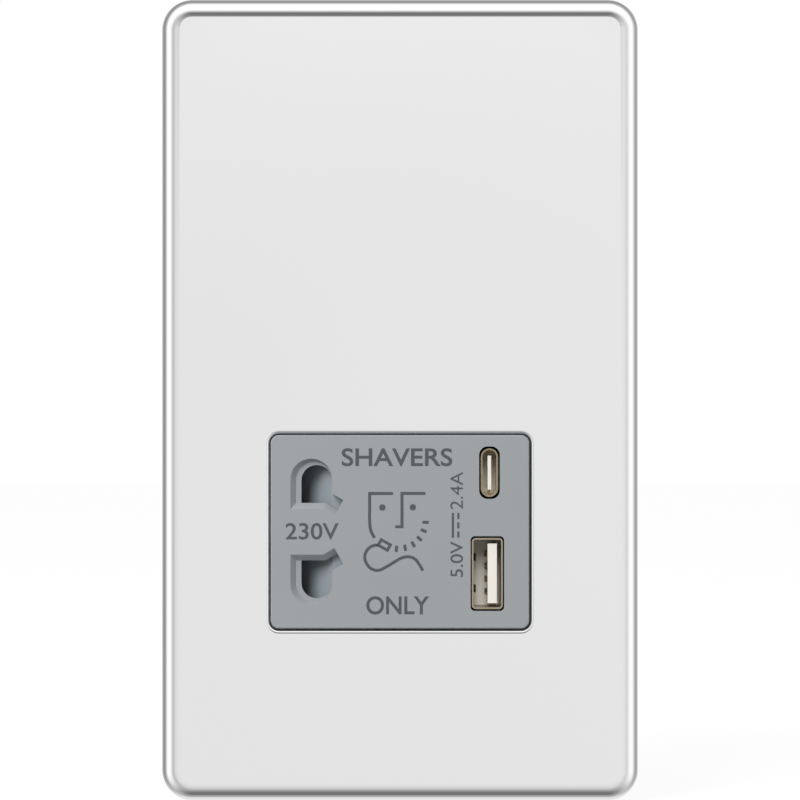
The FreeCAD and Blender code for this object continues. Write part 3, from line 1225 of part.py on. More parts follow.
def transformer():
    """Isolating transformer: stamped core, bobbin, two windings and their tape."""
    half = "3 * leg"
    low = "core_low"
    joint = "core_low + leg"
    top = "core_low + 5 * leg"
    window_top = "core_low + 4 * leg"
    e_core = body("core_e_stack")
    e_path = path(("-3 * leg", joint), ("-2 * leg", joint), ("-2 * leg", window_top), ("-leg", window_top),
                  ("-leg", joint), ("leg", joint), ("leg", window_top), ("2 * leg", window_top),
                  ("2 * leg", joint), ("3 * leg", joint), ("3 * leg", top), ("-3 * leg", top))
    add(e_core, "stampings", [e_path], CORE_BACK, CORE_FRONT)
    bolt_x = "(3 * leg - core_bolt_inset)"
    high_z, low_z = "(core_low + 5 * leg - core_bolt_inset)", "(core_low + leg / 2)"
    cut(e_core, "bolt_holes", [disc("%d * %s" % (side, bolt_x), high_z, "core_hole_radius")
                               for side in (1, -1)],
        "(%s) - overshoot" % CORE_BACK, "(%s) + overshoot" % CORE_FRONT)
    i_core = body("core_i_stack")
    add(i_core, "stampings", [box("-(%s)" % half, half, low, joint)], CORE_BACK, CORE_FRONT)
    cut(i_core, "bolt_holes", [disc("%d * %s" % (side, bolt_x), low_z, "core_hole_radius")
                               for side in (1, -1)],
        "(%s) - overshoot" % CORE_BACK, "(%s) + overshoot" % CORE_FRONT)

    bobbin = body("bobbin")
    tube_in = "(leg + bobbin_gap)", "(core_stack / 2 + bobbin_gap)"
    tube_out = tube_in[0] + " + bobbin_wall", tube_in[1] + " + bobbin_wall"
    reach_x = "(2 * leg - flange_margin / 2)"
    reach_y = "(core_stack / 2 + bobbin_gap + bobbin_wall + winding_build + flange_margin + tape)"
    foot, head = "(%s + bobbin_gap)" % joint, "(%s - bobbin_gap)" % window_top
    divide = "(%s + bobbin_flange + primary_share)" % foot
    middle_y = "-(%s)" % CORE_MIDDLE
    add(bobbin, "tube", [middle_box("0", middle_y, tube_out[0], tube_out[1])], foot, head, role="XY_Plane")
    flanges = (("low_flange", foot, "bobbin_flange"), ("divider", divide, "bobbin_divider"),
               ("high_flange", head + " - bobbin_flange", "bobbin_flange"))
    for name, start, thick in flanges:
        add(bobbin, name, [middle_box("0", middle_y, reach_x, reach_y)], start, start + " + " + thick,
            role="XY_Plane")
    rail_front = "(%s) - rail_gap" % CORE_BACK
    rail_back = "(%s) + rail_gap" % MAIN_BOARD_FRONT
    add(bobbin, "pin_rail", [box("-rail_half", "rail_half", "rail_low", foot + " + bobbin_flange / 2")],
        rail_back, rail_front)
    cut(bobbin, "core_eye", [middle_box("0", middle_y, tube_in[0], tube_in[1])],
        foot + " - overshoot", head + " + overshoot", role="XY_Plane")
    cut(bobbin, "pin_bores", [middle_box(x, z, "pin_width / 2 + pin_gap / 2", "pin_width / 2 + pin_gap / 2")
                              for x, z in rail_pin_places()],
        "(%s) - overshoot" % MAIN_BOARD_FRONT, rail_front + " - rail_bore_skin")
    pins = body("bobbin_pins")
    x, z = rail_pin_places()[0]
    first = add(pins, "pin", [middle_box(x, z, "pin_width / 2", "pin_width / 2")],
                "(%s) - pin_stand" % MAIN_BOARD_BACK, rail_front + " - rail_pin_skin")
    repeat(pins, "pin_row", first, "X_Axis", "rail_pin_pitch", 5)

    inner_x, inner_y = tube_out[0] + " + thread_gap", tube_out[1] + " + thread_gap"
    chambers = (("primary_winding", foot + " + bobbin_flange", divide),
                ("secondary_winding", divide + " + bobbin_divider", head + " - bobbin_flange"))
    windings = []
    wire_x, wire_y = tube_out[0] + " + winding_build", tube_out[1] + " + winding_build"

    for name, start, end in chambers:
        coil = body(name)
        start, end = start + " + thread_gap", end + " - thread_gap"
        add(coil, "turns", [rounded_box("0", middle_y, wire_x, wire_y, "winding_build / 2")], start, end,
            role="XY_Plane")
        cut(coil, "eye", [middle_box("0", middle_y, inner_x, inner_y)],
            start + " - overshoot", end + " + overshoot",
            role="XY_Plane")
        windings.append(coil)
    wraps = []
    for name, (other, start, end) in zip(("primary_tape", "secondary_tape"), chambers):
        wrap = body(name)
        start, end = start + " + thread_gap", end + " - thread_gap"
        add(wrap, "wrap", [rounded_box("0", middle_y, wire_x + " + tape", wire_y + " + tape",
                                       "winding_build / 2 + tape"),
                           rounded_box("0", middle_y, wire_x, wire_y, "winding_build / 2")], start, end,
            role="XY_Plane")
        wraps.append(wrap)
    cutout = body("thermal_cutout")
    face = "(%s) + %s + tape" % (CORE_MIDDLE, wire_y)
    height = foot + " + bobbin_flange + primary_share / 2"
    add(cutout, "case", [rounded_box("0", height, "cutout_width / 2", "cutout_height / 2",
                                     "cutout_depth / 3")], face, face + " + cutout_depth")
    places = [("%d * %s" % (side, bolt_x), z) for side in (1, -1) for z in (high_z, low_z)]
    bolts = screws("core_screws", places, CORE_FRONT, "core_head_radius", "core_head", "core_bolt_radius",
                   "core_stack + core_bolt_bite")
    return [e_core, i_core, bobbin, pins, cutout, bolts] + windings + wraps, places


def rear_housing(core_places):
    """Deep moulded box with vents, inner pillars and an open terminal bay."""
    made = body("rear_housing")
    half, middle, tall = HOUSING_HALF, HOUSING_MIDDLE, HOUSING_RISE
    add(made, "shell_block", [rounded_box("0", middle, half, tall, "housing_corner")], HOUSING_BACK,
        "housing_nest")
    dress(made, "shell_edge", "Fillet", "housing_edge",
          lambda edge: at(edge.CenterOfMass.y, "housing_depth"))
    cut(made, "shell_hollow", [middle_box("0", middle, half + " - housing_wall", tall + " - housing_wall")],
        HOUSING_FLOOR, "1")
    pillars = [("%d * %s" % (side, PILLAR_X), end) for side in (1, -1) for end in (PILLAR_HIGH, PILLAR_LOW)]
    add(made, "pillars", [disc(x, z, "pillar_radius") for x, z in pillars], "-pillar_depth", "housing_nest")
    add(made, "core_posts", [disc(x, z, "core_post_radius") for x, z in core_places],
        "(%s) - bury" % HOUSING_FLOOR, CORE_BACK)
    add(made, "board_posts", [disc(x, z, "board_post_radius") for x, z in board_screw_places()],
        "(%s) - bury" % HOUSING_FLOOR, MAIN_BOARD_BACK)
    inner_low = "housing_low + housing_wall"
    bay_front = "(%s) - bay_gap" % MAIN_BOARD_BACK
    walls = path(("-bay_half - bay_wall", inner_low + " - bury"), ("-bay_half", inner_low + " - bury"),
                 ("-bay_half", "bay_high"), ("bay_half", "bay_high"), ("bay_half", inner_low + " - bury"),
                 ("bay_half + bay_wall", inner_low + " - bury"),
                 ("bay_half + bay_wall", "bay_high + bay_wall"),
                 ("-bay_half - bay_wall", "bay_high + bay_wall"))
    add(made, "bay_walls", [walls], "(%s) - bury" % HOUSING_FLOOR, bay_front)
    shelf = box("-bay_half - bay_wall", "bay_half + bay_wall", inner_low + " - bury",
                "main_board_low - bay_gap")
    add(made, "bay_shelf", [shelf], bay_front, MAIN_BOARD_FRONT)
    cut(made, "bay_opening", [box("-bay_half", "bay_half", "housing_low - overshoot", "bay_high")],
        "-housing_depth - overshoot", bay_front)
    cut(made, "pillar_bores", [disc(x, z, "housing_screw_radius + thread_gap") for x, z in pillars],
        "carrier_floor - housing_screw_length - bolt_room", "overshoot")
    cut(made, "core_bores", [disc(x, z, "core_bolt_radius + thread_gap") for x, z in core_places],
        "(%s) - core_bolt_bite - bolt_room" % CORE_BACK, "(%s) + overshoot" % CORE_BACK)
    board_bores = [disc(x, z, "board_screw_radius + thread_gap") for x, z in board_screw_places()]
    cut(made, "board_bores", board_bores, HOUSING_FLOOR, "(%s) + overshoot" % MAIN_BOARD_BACK)
    vent = box("-vent_pitch * (vent_count - 1) / 2 - vent_width / 2",
               "-vent_pitch * (vent_count - 1) / 2 + vent_width / 2", "vent_low", "vent_low + vent_height")
    repeat(made, "back_vents", cut(made, "back_vent", [vent], "-housing_depth - overshoot", HOUSING_FLOOR),
           "X_Axis", "vent_pitch", "vent_count")
    low_left = "-vent_pitch * (low_vent_count - 1) / 2"
    vent = box(low_left + " - vent_width / 2", low_left + " + vent_width / 2",
               "bay_high + bay_wall + low_vent_rise",
               "bay_high + bay_wall + low_vent_rise + low_vent_height")
    repeat(made, "low_vents", cut(made, "low_vent", [vent], "-housing_depth - overshoot", HOUSING_FLOOR),
           "X_Axis", "vent_pitch", "low_vent_count")
    deep = "-(%s) - side_vent_inset" % CORE_FRONT, "-(%s) + side_vent_inset" % CORE_BACK
    vent = box(deep[0], deep[1], "vent_low", "vent_low + vent_width")
    for side in (1, -1):
        start, end = ("%s - housing_wall" % half, "%s + overshoot" % half) if side > 0 else \
            ("-%s - overshoot" % half, "-%s + housing_wall" % half)
        slot = cut(made, "side_vent", [vent], start, end, role="YZ_Plane")
        repeat(made, "side_vents", slot, "Z_Axis", "vent_pitch", "side_vent_count")
    vent = box("-vent_pitch * (side_vent_count - 1) / 2 - vent_width / 2",
               "-vent_pitch * (side_vent_count - 1) / 2 + vent_width / 2", deep[0], deep[1])
    slot = cut(made, "top_vent", [vent], "housing_high - housing_wall", "housing_high + overshoot",
               role="XY_Plane")
    repeat(made, "top_vents", slot, "X_Axis", "vent_pitch", "side_vent_count")
    return made, pillars


front_plate()
carrier_frame()
socket_front()
shutter()
shutter_spring()
contact_carrier()
pin_contact("upper_contact", 1)
pin_contact("lower_contact", -1)
microswitch()
charging_board()
board_link()
ports()
board_parts()
main_board()
terminals()
core_bolt_places = transformer()[1]
housing_screw_places = rear_housing(core_bolt_places)[1]
screws("fixing_screws", [("0", "fixing_spacing / 2"), ("0", "-fixing_spacing / 2")], "carrier_floor",
       "fixing_head_radius", "fixing_head", "fixing_radius", "fixing_length",
       neck=("fixing_neck_radius", "carrier_floor"))
screws("housing_screws", housing_screw_places, "carrier_floor", "housing_head_radius", "housing_head",
       "housing_screw_radius", "housing_screw_length")
screws("board_screws", board_screw_places(), MAIN_BOARD_FRONT, "board_head_radius", "board_head",
       "board_screw_radius", "board_sheet + board_screw_bite")
screws("carrier_screws", boss_places(), BASE_BACK, "small_head_radius", "small_head", "small_screw_radius",
       "small_screw_length", point=-1)
screws("port_board_screws", post_places(), USB_BOARD_BACK, "small_head_radius", "small_head",
       "small_screw_radius", "small_screw_length", point=-1)
doc.recompute()

# Every feature has to be sound before anything is written
failed = [item.Name for item in doc.Objects if "Invalid" in item.State or "Error" in item.State]
if failed:
    raise RuntimeError("failed: " + ", ".join(failed))
pieces = [item for item in doc.Objects if item.TypeId in ("PartDesign::Body", "Part::Feature")]
for piece in pieces:
    if piece.Shape.isNull() or not piece.Shape.isValid() or piece.Shape.Volume <= 0:
        raise RuntimeError("bad shape: " + piece.Label)
cuts = [item for item in doc.Objects if item.TypeId in ("PartDesign::Pocket", "PartDesign::SubtractiveLoft")]
idle = [item.Name for item in cuts if item.BaseFeature.Shape.Volume - item.Shape.Volume < 0.001]
if idle:
    raise RuntimeError("cut nothing: " + ", ".join(idle))

os.makedirs("parts", exist_ok=True)
for piece in pieces:
    piece.Shape.exportStep("parts/" + piece.Label + ".step")
    print(piece.Label, len(piece.Shape.Solids), round(piece.Shape.Volume, 1), piece.Shape.BoundBox)
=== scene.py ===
import math

import bmesh
import bpy
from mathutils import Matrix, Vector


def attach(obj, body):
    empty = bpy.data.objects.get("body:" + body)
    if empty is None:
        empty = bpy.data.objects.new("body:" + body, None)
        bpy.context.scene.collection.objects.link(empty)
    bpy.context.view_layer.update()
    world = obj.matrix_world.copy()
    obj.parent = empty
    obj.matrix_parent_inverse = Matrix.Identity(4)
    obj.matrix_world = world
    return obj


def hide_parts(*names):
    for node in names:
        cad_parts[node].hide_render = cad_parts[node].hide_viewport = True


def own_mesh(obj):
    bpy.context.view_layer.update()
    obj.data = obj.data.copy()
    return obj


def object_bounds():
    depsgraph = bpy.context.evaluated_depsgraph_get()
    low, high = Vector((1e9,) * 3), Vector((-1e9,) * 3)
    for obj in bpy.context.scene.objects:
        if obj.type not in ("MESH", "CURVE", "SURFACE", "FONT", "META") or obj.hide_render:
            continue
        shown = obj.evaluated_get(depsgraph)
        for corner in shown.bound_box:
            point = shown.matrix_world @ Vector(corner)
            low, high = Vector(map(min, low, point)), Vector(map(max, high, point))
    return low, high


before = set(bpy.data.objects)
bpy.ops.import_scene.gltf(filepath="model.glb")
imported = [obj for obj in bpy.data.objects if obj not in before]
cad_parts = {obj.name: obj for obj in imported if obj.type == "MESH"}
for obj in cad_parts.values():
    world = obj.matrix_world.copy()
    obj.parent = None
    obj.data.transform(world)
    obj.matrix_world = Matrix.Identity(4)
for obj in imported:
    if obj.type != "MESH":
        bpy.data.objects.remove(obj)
cad_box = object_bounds()

# Front plate
# Mild steel sheet pressed into a shallow tray, polished and chromium plated.
# It is one pressing: rolled rim, turned-in window edge and a lever notch at
# its foot.

MM = 0.001
TOUCHING = 0.02
STRAIGHT = 0.999


def linear(colour):
    """An sRGB hex colour as the linear colour that a node takes."""
    parts = [int(colour[place:place + 2], 16) / 255 for place in (1, 3, 5)]
    return tuple(v / 12.92 if v <= 0.04045 else ((v + 0.055) / 1.055) ** 2.4 for v in parts) + (1,)


def add_node(tree, kind, inputs=None, **settings):
    """Adds a shader node with its settings, and values, sockets or other nodes on its inputs."""
    node = tree.nodes.new("ShaderNode" + kind)
    for name, value in settings.items():
        setattr(node, name, value)
    for socket, value in (inputs or {}).items():
        if isinstance(value, bpy.types.Node):
            value = next(output for output in value.outputs if output.enabled)
        if isinstance(value, bpy.types.NodeSocket):
            tree.links.new(value, node.inputs[socket])
        else:
            node.inputs[socket].default_value = value
    return node


def start_material(name):
    """A bare material, its node tree and the object's own coordinates."""
    material = bpy.data.materials.new(name)
    material.use_nodes = True
    tree = material.node_tree
    tree.nodes.clear()
    return material, tree, add_node(tree, "TexCoord").outputs["Object"]


def end_material(tree, surface):
    """Joins the surface to the material's output."""
    add_node(tree, "OutputMaterial", {"Surface": surface})


def lone(piece):
    """Makes one piece the only one that is selected and active."""
    bpy.ops.object.select_all(action="DESELECT")
    piece.select_set(True)
    bpy.context.view_layer.objects.active = piece


def settle(piece):
    """Moves a piece's place, turn and scale into its mesh."""
    lone(piece)
    bpy.ops.object.transform_apply(location=True, rotation=True, scale=True)


def block(name, low, high):
    """A block between two corners, in millimetres, to shape further."""
    bpy.ops.object.select_all(action="DESELECT")
    middle = [(a + b) / 2 * MM for a, b in zip(low, high)]
    bpy.ops.mesh.primitive_cube_add(size=1, location=middle)
    piece = bpy.context.object
    piece.name = name
    piece.scale = [(b - a) * MM for a, b in zip(low, high)]
    settle(piece)
    return piece


def pick(piece, kind, wanted):
    """Opens edit mode with only the parts of the mesh that pass the test selected."""
    lone(piece)
    bpy.ops.object.mode_set(mode="EDIT")
    bpy.ops.mesh.select_mode(type=kind)
    bpy.ops.mesh.select_all(action="DESELECT")
    shape = bmesh.from_edit_mesh(piece.data)
    for item in {"VERT": shape.verts, "EDGE": shape.edges, "FACE": shape.faces}[kind]:
        if wanted(item):
            item.select_set(True)
    bmesh.update_edit_mesh(piece.data)


def close_edit():
    """Goes back from edit mode."""
    bpy.ops.object.mode_set(mode="OBJECT")


def round_edges(piece, radius, steps, wanted):
    """Bevels the edges that pass the test to a round of a radius in millimetres."""
    pick(piece, "EDGE", wanted)
    bpy.ops.mesh.bevel(offset=radius * MM, segments=steps, affect="EDGES", clamp_overlap=False)
    close_edit()


def along(edge, axis):
    """True for an edge that runs along an axis."""
    way = edge.verts[1].co - edge.verts[0].co
    return abs(way[axis]) > STRAIGHT * way.length


def all_at(item, axis, value):
    """True where every corner has one coordinate at a value in millimetres."""
    return all(abs(corner.co[axis] - value * MM) < TOUCHING * MM for corner in item.verts)


def modify(piece, kind, **settings):
    """Adds a modifier and applies it."""
    lone(piece)
    modifier = piece.modifiers.new(kind.lower(), kind)
    for name, value in settings.items():
        setattr(modifier, name, value)
    bpy.ops.object.modifier_apply(modifier=modifier.name)


def carve(piece, tool, operation="DIFFERENCE"):
    """Cuts a tool out of a piece, or joins it on, and clears the tool away."""
    modify(piece, "BOOLEAN", object=tool, operation=operation, solver="EXACT")
    bpy.data.objects.remove(tool)


def smooth(piece, angle=30):
    """Smooth shading up to an angle, with flat faces kept flat."""
    lone(piece)
    bpy.ops.object.shade_smooth_by_angle(angle=math.radians(angle))
    modify(piece, "WEIGHTED_NORMAL", keep_sharp=True, weight=100)


def give(piece, material, body="base"):
    """Finishes a new piece: its material and the body that carries it."""
    piece.data.materials.clear()
    piece.data.materials.append(material)
    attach(piece, body)


def chrome():
    """Polished chromium plate.

    Chromium over polished steel gives a sharp, pale mirror. The polishing
    leaves the faintest swell in the sheet, tens of millimetres long.
    """
    material, tree, place = start_material("polished_chrome_plate")
    swell = add_node(tree, "TexNoise", {"Vector": place, "Scale": 1 / (34 * MM), "Detail": 0.0})
    wipes = add_node(tree, "TexNoise", {"Vector": place, "Scale": 1 / (6 * MM), "Detail": 3.0})
    haze = add_node(tree, "MapRange", {"Value": wipes, "To Min": 0.035, "To Max": 0.06})
    relief = add_node(tree, "Bump", {"Height": swell, "Distance": 0.004 * MM})
    end_material(tree, add_node(tree, "BsdfPrincipled", {
        "Base Color": linear("#F7F7F7"), "Metallic": 1.0, "Roughness": haze, "Normal": relief}))
    return material


box_low, box_high = ([round(value / MM, 3) for value in corner] for corner in cad_box)
PLATE = (box_high[0] - box_low[0], box_high[2] - box_low[2])
PLATE_CORNER = 5.6
STAND = -box_low[1]
SHEET = 0.8
RIM_ROLL = 3.4
WINDOW = (48.1, 36.1)
WINDOW_RISE = -24.3
WINDOW_CORNER = 1.75
WINDOW_ROLL = 0.78
LIP = 1.8
NOTCH = (10.0, 1.3)
NOTCH_CORNER = 0.5
NEAR = 0.1
PAST = 1.0

plate = block("chrome_plate", (-PLATE[0] / 2, -STAND, -PLATE[1] / 2), (PLATE[0] / 2, 0, PLATE[1] / 2))
round_edges(plate, PLATE_CORNER, 14, lambda edge: along(edge, 1))
pick(plate, "FACE", lambda face: all_at(face, 1, 0))
bpy.ops.mesh.delete(type="ONLY_FACE")
close_edit()
round_edges(plate, RIM_ROLL, 16, lambda edge: all_at(edge, 1, -STAND))
window = block("window_tool", (-WINDOW[0] / 2, -STAND - 3 * PAST, WINDOW_RISE - WINDOW[1] / 2),
               (WINDOW[0] / 2, -STAND + LIP, WINDOW_RISE + WINDOW[1] / 2))
round_edges(window, WINDOW_CORNER, 10, lambda edge: along(edge, 1))
carve(plate, window)
pick(plate, "FACE", lambda face: all_at(face, 1, -STAND + LIP))
bpy.ops.mesh.delete(type="FACE")
close_edit()


def window_rim(edge):
    """True for an edge between the plate's face and the window's turned-in wall."""
    inside = all(abs(corner.co.x) < (WINDOW[0] / 2 + NEAR) * MM for corner in edge.verts)
    middle = (edge.verts[0].co + edge.verts[1].co) / 2
    level = abs(middle.z - WINDOW_RISE * MM) < (WINDOW[1] / 2 + NEAR) * MM
    turned = any(abs(face.normal.y) < 0.5 for face in edge.link_faces)
    return all_at(edge, 1, -STAND) and inside and level and turned


round_edges(plate, WINDOW_ROLL, 8, window_rim)
modify(plate, "SOLIDIFY", thickness=SHEET * MM, offset=-1, use_even_offset=True)
notch = block("notch_tool", (-NOTCH[0] / 2, -NOTCH[1], -PLATE[1] / 2 - PAST),
              (NOTCH[0] / 2, PAST, -PLATE[1] / 2 + SHEET + NEAR))
round_edges(notch, NOTCH_CORNER, 4, lambda edge: along(edge, 2) and all_at(edge, 1, -NOTCH[1]))
carve(plate, notch)
smooth(plate)
give(plate, chrome())
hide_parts("front_plate")

# Grey socket front
# One injection moulding in satin grey polycarbonate, with the pin apertures
# and port openings moulded through and a thin bevel round its face.


def dress(material, *nodes):
    """Gives CAD nodes a material."""
    for node in nodes:
        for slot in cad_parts[node].material_slots:
            slot.material = material


def moulded(name, light, dark, roughness, pit=0.16, depth=0.006, specular=0.5):
    """A moulded plastic: spark-eroded skin, a faint drift of colour as the melt flowed, and a painted
    highlight on convex edges.
    """
    material, tree, place = start_material(name)
    flow = add_node(tree, "TexNoise", {"Vector": place, "Scale": 1 / (14 * MM), "Detail": 3.0})
    skin = add_node(tree, "TexNoise", {"Vector": place, "Scale": 1 / (pit * MM), "Roughness": 0.6})
    clouds = add_node(tree, "TexNoise", {"Vector": place, "Scale": 1 / (5 * MM)})
    pits = add_node(tree, "MapRange", {"Value": skin, "To Min": -0.05, "To Max": 0.05})
    gloss = add_node(tree, "MapRange", {"Value": clouds, "To Min": roughness - 0.03,
                                        "To Max": roughness + 0.03})
    sheen = add_node(tree, "Math", {0: pits, 1: gloss}, operation="ADD")
    drift = add_node(tree, "Mix", {"Factor": flow, "A": linear(dark), "B": linear(light)}, data_type="RGBA")
    # Pointiness mixes convex edges toward the light tone: a painted edge highlight, which leaves hollows a
    # little darker as painted shade.
    edges = add_node(tree, "NewGeometry").outputs["Pointiness"]
    painted_edge_light = add_node(tree, "MapRange", {"Value": edges, "To Max": 0.12})
    colour = add_node(tree, "Mix", {"Factor": painted_edge_light, "A": drift, "B": linear(light)}, data_type="RGBA")
    relief = add_node(tree, "Bump", {"Height": skin, "Distance": depth * MM})
    end_material(tree, add_node(tree, "BsdfPrincipled", {
        "Base Color": colour, "Roughness": sheen, "Specular IOR Level": specular, "Normal": relief}))
    return material


dress(moulded("satin_grey_polycarbonate", "#9DA1A4", "#999DA0", 0.42), "socket_front")

# Legends on the front
# Plain functional wording and the usual shaver sign, pad printed in dark grey
# ink about a hundredth of a millimetre thick.


def ink():
    """Pad-printed ink: flat dark grey, a little drier than the plastic, with fine pinholes."""
    material, tree, place = start_material("pad_printed_grey_ink")
    spots = add_node(tree, "TexNoise", {"Vector": place, "Scale": 1 / (0.12 * MM), "Detail": 3.0,
                                        "Roughness": 0.7})
    colour = add_node(tree, "Mix", {"Factor": spots, "A": linear("#4C5053"), "B": linear("#565A5D")},
                      data_type="RGBA")
    dryness = add_node(tree, "MapRange", {"Value": spots, "To Min": 0.5, "To Max": 0.62})
    relief = add_node(tree, "Bump", {"Height": spots, "Distance": 0.003 * MM})
    end_material(tree, add_node(tree, "BsdfPrincipled", {
        "Base Color": colour, "Roughness": dryness, "Normal": relief}))
    return material


INK = 0.012
BLANK = 0.1
SAME_POINT = 1e-7
ink_material = ink()


def print_mesh(piece, name, middle, width, height, turn=0.0):
    """Fits a flat outline to its printed size and place on the front."""
    lone(piece)
    bpy.ops.object.convert(target="MESH")
    piece = bpy.context.object
    piece.name = name
    settle(piece)
    low = [min(corner.co[axis] for corner in piece.data.vertices) for axis in range(3)]
    high = [max(corner.co[axis] for corner in piece.data.vertices) for axis in range(3)]
    pick(piece, "VERT", lambda corner: True)
    bpy.ops.mesh.remove_doubles(threshold=SAME_POINT)
    bpy.ops.transform.translate(value=[-(a + b) / 2 for a, b in zip(low, high)])
    sizes = (width * MM, height * MM, INK * MM)
    bpy.ops.transform.resize(value=[size / (b - a) for size, a, b in zip(sizes, low, high)])
    close_edit()
    piece.rotation_euler = (math.radians(90), -turn, 0)
    piece.location = (middle[0] * MM, (-STAND - INK / 2) * MM, middle[1] * MM)
    settle(piece)
    give(piece, ink_material)
    return piece


def legend(name, words, middle, width, height, turn=0.0, weight=0.016):
    """One line of wording, in the plain built-in letters, thickened by a weight."""
    bpy.ops.object.select_all(action="DESELECT")
    bpy.ops.object.text_add()
    piece = bpy.context.object
    piece.data.body = words
    piece.data.extrude = 0.02
    piece.data.offset = weight
    piece.data.resolution_u = 6
    return print_mesh(piece, name, middle, width, height, turn)


UP = math.radians(90)
legend("shavers_legend", "SHAVERS", (-0.55, -10.55), 20.4, 3.35)
legend("only_legend", "ONLY", (-0.42, -37.85), 11.6, 3.4)
legend("voltage_legend", "230V", (-16.2, -24.2), 9.8, 3.07, weight=0.012)
legend("port_volts_legend", "5.0V", (10.45, -29.35), 6.6, 2.35, UP, 0.006)
legend("port_amps_legend", "2.4A", (10.45, -16.7), 6.9, 2.35, UP, 0.0)

BAR_ROUND = 0.3


def ink_bar(name, middle, width, height, turn=0.0):
    """A printed bar with rounded ends."""
    bar = block(name, (-width / 2, -height / 2, -BLANK), (width / 2, height / 2, BLANK))
    round_edges(bar, min(width, height) * BAR_ROUND, 3, lambda edge: along(edge, 2))
    return print_mesh(bar, name, middle, width, height, turn)


DIRECT_RISE = -23.1
DIRECT_STROKE = 0.42
DIRECT_LENGTH = 4.6
DASH_LENGTH = 1.15
DASH_PITCH = 1.72

ink_bar("direct_current_line", (9.75, DIRECT_RISE), DIRECT_STROKE, DIRECT_LENGTH)
for step in (-1, 0, 1):
    ink_bar("direct_current_dash_%d" % (step + 1), (10.75, DIRECT_RISE + step * DASH_PITCH),
            DIRECT_STROKE, DASH_LENGTH)


def ink_line(name, corners, stroke):
    """A printed line through points, given by X and Z in millimetres."""
    bpy.ops.object.select_all(action="DESELECT")
    bpy.ops.curve.primitive_bezier_curve_add()
    piece = bpy.context.object
    piece.data.splines.clear()
    line = piece.data.splines.new("BEZIER")
    line.bezier_points.add(len(corners) - 1)
    for point, (x, z) in zip(line.bezier_points, corners):
        point.co = (x * MM, z * MM, 0)
        point.handle_left_type = point.handle_right_type = "AUTO"
    piece.data.bevel_depth = stroke / 2 * MM
    piece.data.bevel_resolution = 3
    piece.data.use_fill_caps = True
    lone(piece)
    bpy.ops.object.convert(target="MESH")
    piece = bpy.context.object
    across = [max(corner.co[axis] for corner in piece.data.vertices) for axis in (0, 1)]
    back = [min(corner.co[axis] for corner in piece.data.vertices) for axis in (0, 1)]
    middle = [(a + b) / 2 / MM for a, b in zip(across, back)]
    return print_mesh(piece, name, middle, (across[0] - back[0]) / MM, (across[1] - back[1]) / MM)


def ink_shape(name, middle, *bars):
    """Printed bars that run into one another, each as left, right, low and high."""
    shape = None
    for left, right, low, high in bars:
        bar = block(name, (left, low, -BLANK), (right, high, BLANK))
        if shape:
            carve(shape, bar, "UNION")
        else:
            shape = bar
    across = [max(bar[1] for bar in bars), max(bar[3] for bar in bars)]
    back = [min(bar[0] for bar in bars), min(bar[2] for bar in bars)]
    return print_mesh(shape, name, middle, across[0] - back[0], across[1] - back[1])


STROKE = 0.56
EYE = 1.15
EYE_BLANK = 0.56
EYE_CORNER = 0.5
SIGN_DASH = (1.2, 0.58)
SHAVER = (2.48, 1.68)
SHAVER_HOLE = (1.4, 0.6)

ink_bar("sign_left_brow", (-3.42, -17.23), 4.3, STROKE)
ink_shape("sign_nose", (1.9, -20.29), (0.09, 4.7, 6.17, 6.73), (0.09, 0.65, 0.02, 6.6),
          (-0.9, 0.5, 0.02, 0.58))
ink_line("sign_cheek", ((-5.59, -16.95), (-5.59, -20.0), (-5.59, -22.3), (-5.36, -24.1), (-4.7, -25.4)),
         STROKE)
for number, spot in enumerate(((-3.25, -19.81), (2.36, -19.78))):
    eye = block("sign_eye", (-EYE_BLANK, -EYE_BLANK, -BLANK), (EYE_BLANK, EYE_BLANK, BLANK))
    round_edges(eye, EYE_CORNER, 8, lambda edge: along(edge, 2))
    print_mesh(eye, "sign_eye_%d" % number, spot, EYE, EYE)
dashes = ((4.72, -22.54, 0), (4.37, -24.1, -22), (3.57, -25.55, -42), (2.43, -26.61, -62),
          (0.94, -27.23, -81), (-0.66, -27.43, -94))
for number, (x, z, turn) in enumerate(dashes):
    ink_bar("sign_dash_%d" % number, (x, z), *SIGN_DASH, math.radians(turn))
ink_line("sign_cord", ((-4.0, -26.72), (-4.96, -26.85), (-6.07, -27.69), (-6.48, -28.95), (-6.07, -30.28),
                       (-5.09, -31.19), (-3.93, -31.38), (-2.76, -30.87), (-1.2, -29.96), (0.22, -29.15),
                       (1.52, -28.89), (2.75, -29.31), (3.53, -30.28), (4.22, -31.45)), STROKE)
shaver = block("sign_shaver", (-SHAVER[0] / 2, -SHAVER[1] / 2, -BLANK), (SHAVER[0] / 2, SHAVER[1] / 2, BLANK))
carve(shaver, block("shaver_tool", (-SHAVER_HOLE[0] / 2, -SHAVER_HOLE[1] / 2, -PAST),
                    (SHAVER_HOLE[0] / 2, SHAVER_HOLE[1] / 2, PAST)))
print_mesh(shaver, "sign_shaver", (-2.89, -26.72), *SHAVER, math.radians(-29.5))

# Carrier frame and rear housing
# Two mouldings in black flame-retardant ABS. The ribbed frame is screwed to
# the wall box, and the deep vented housing is held to its back by four screws.
# Its spark-eroded skin scatters light, so it shows as a soft dark grey.

dress(moulded("spark_eroded_black_abs", "#323335", "#2A2B2D", 0.5, 0.24, 0.012, 0.4),
      "carrier_frame", "rear_housing")

# Sliding shutter
# One acetal moulding that closes the pin apertures until a plug's two pins
# push its ramps aside together. Acetal is waxy, with a low, even gloss.

dress(moulded("waxy_blue_grey_acetal", "#9EA7AC", "#939CA1", 0.38, 0.4, 0.003, 0.4), "shutter")

# Return spring
# Stainless spring wire, coiled cold, which shuts the shutter again. It sits
# between the shutter's tail and a wall of the socket front.


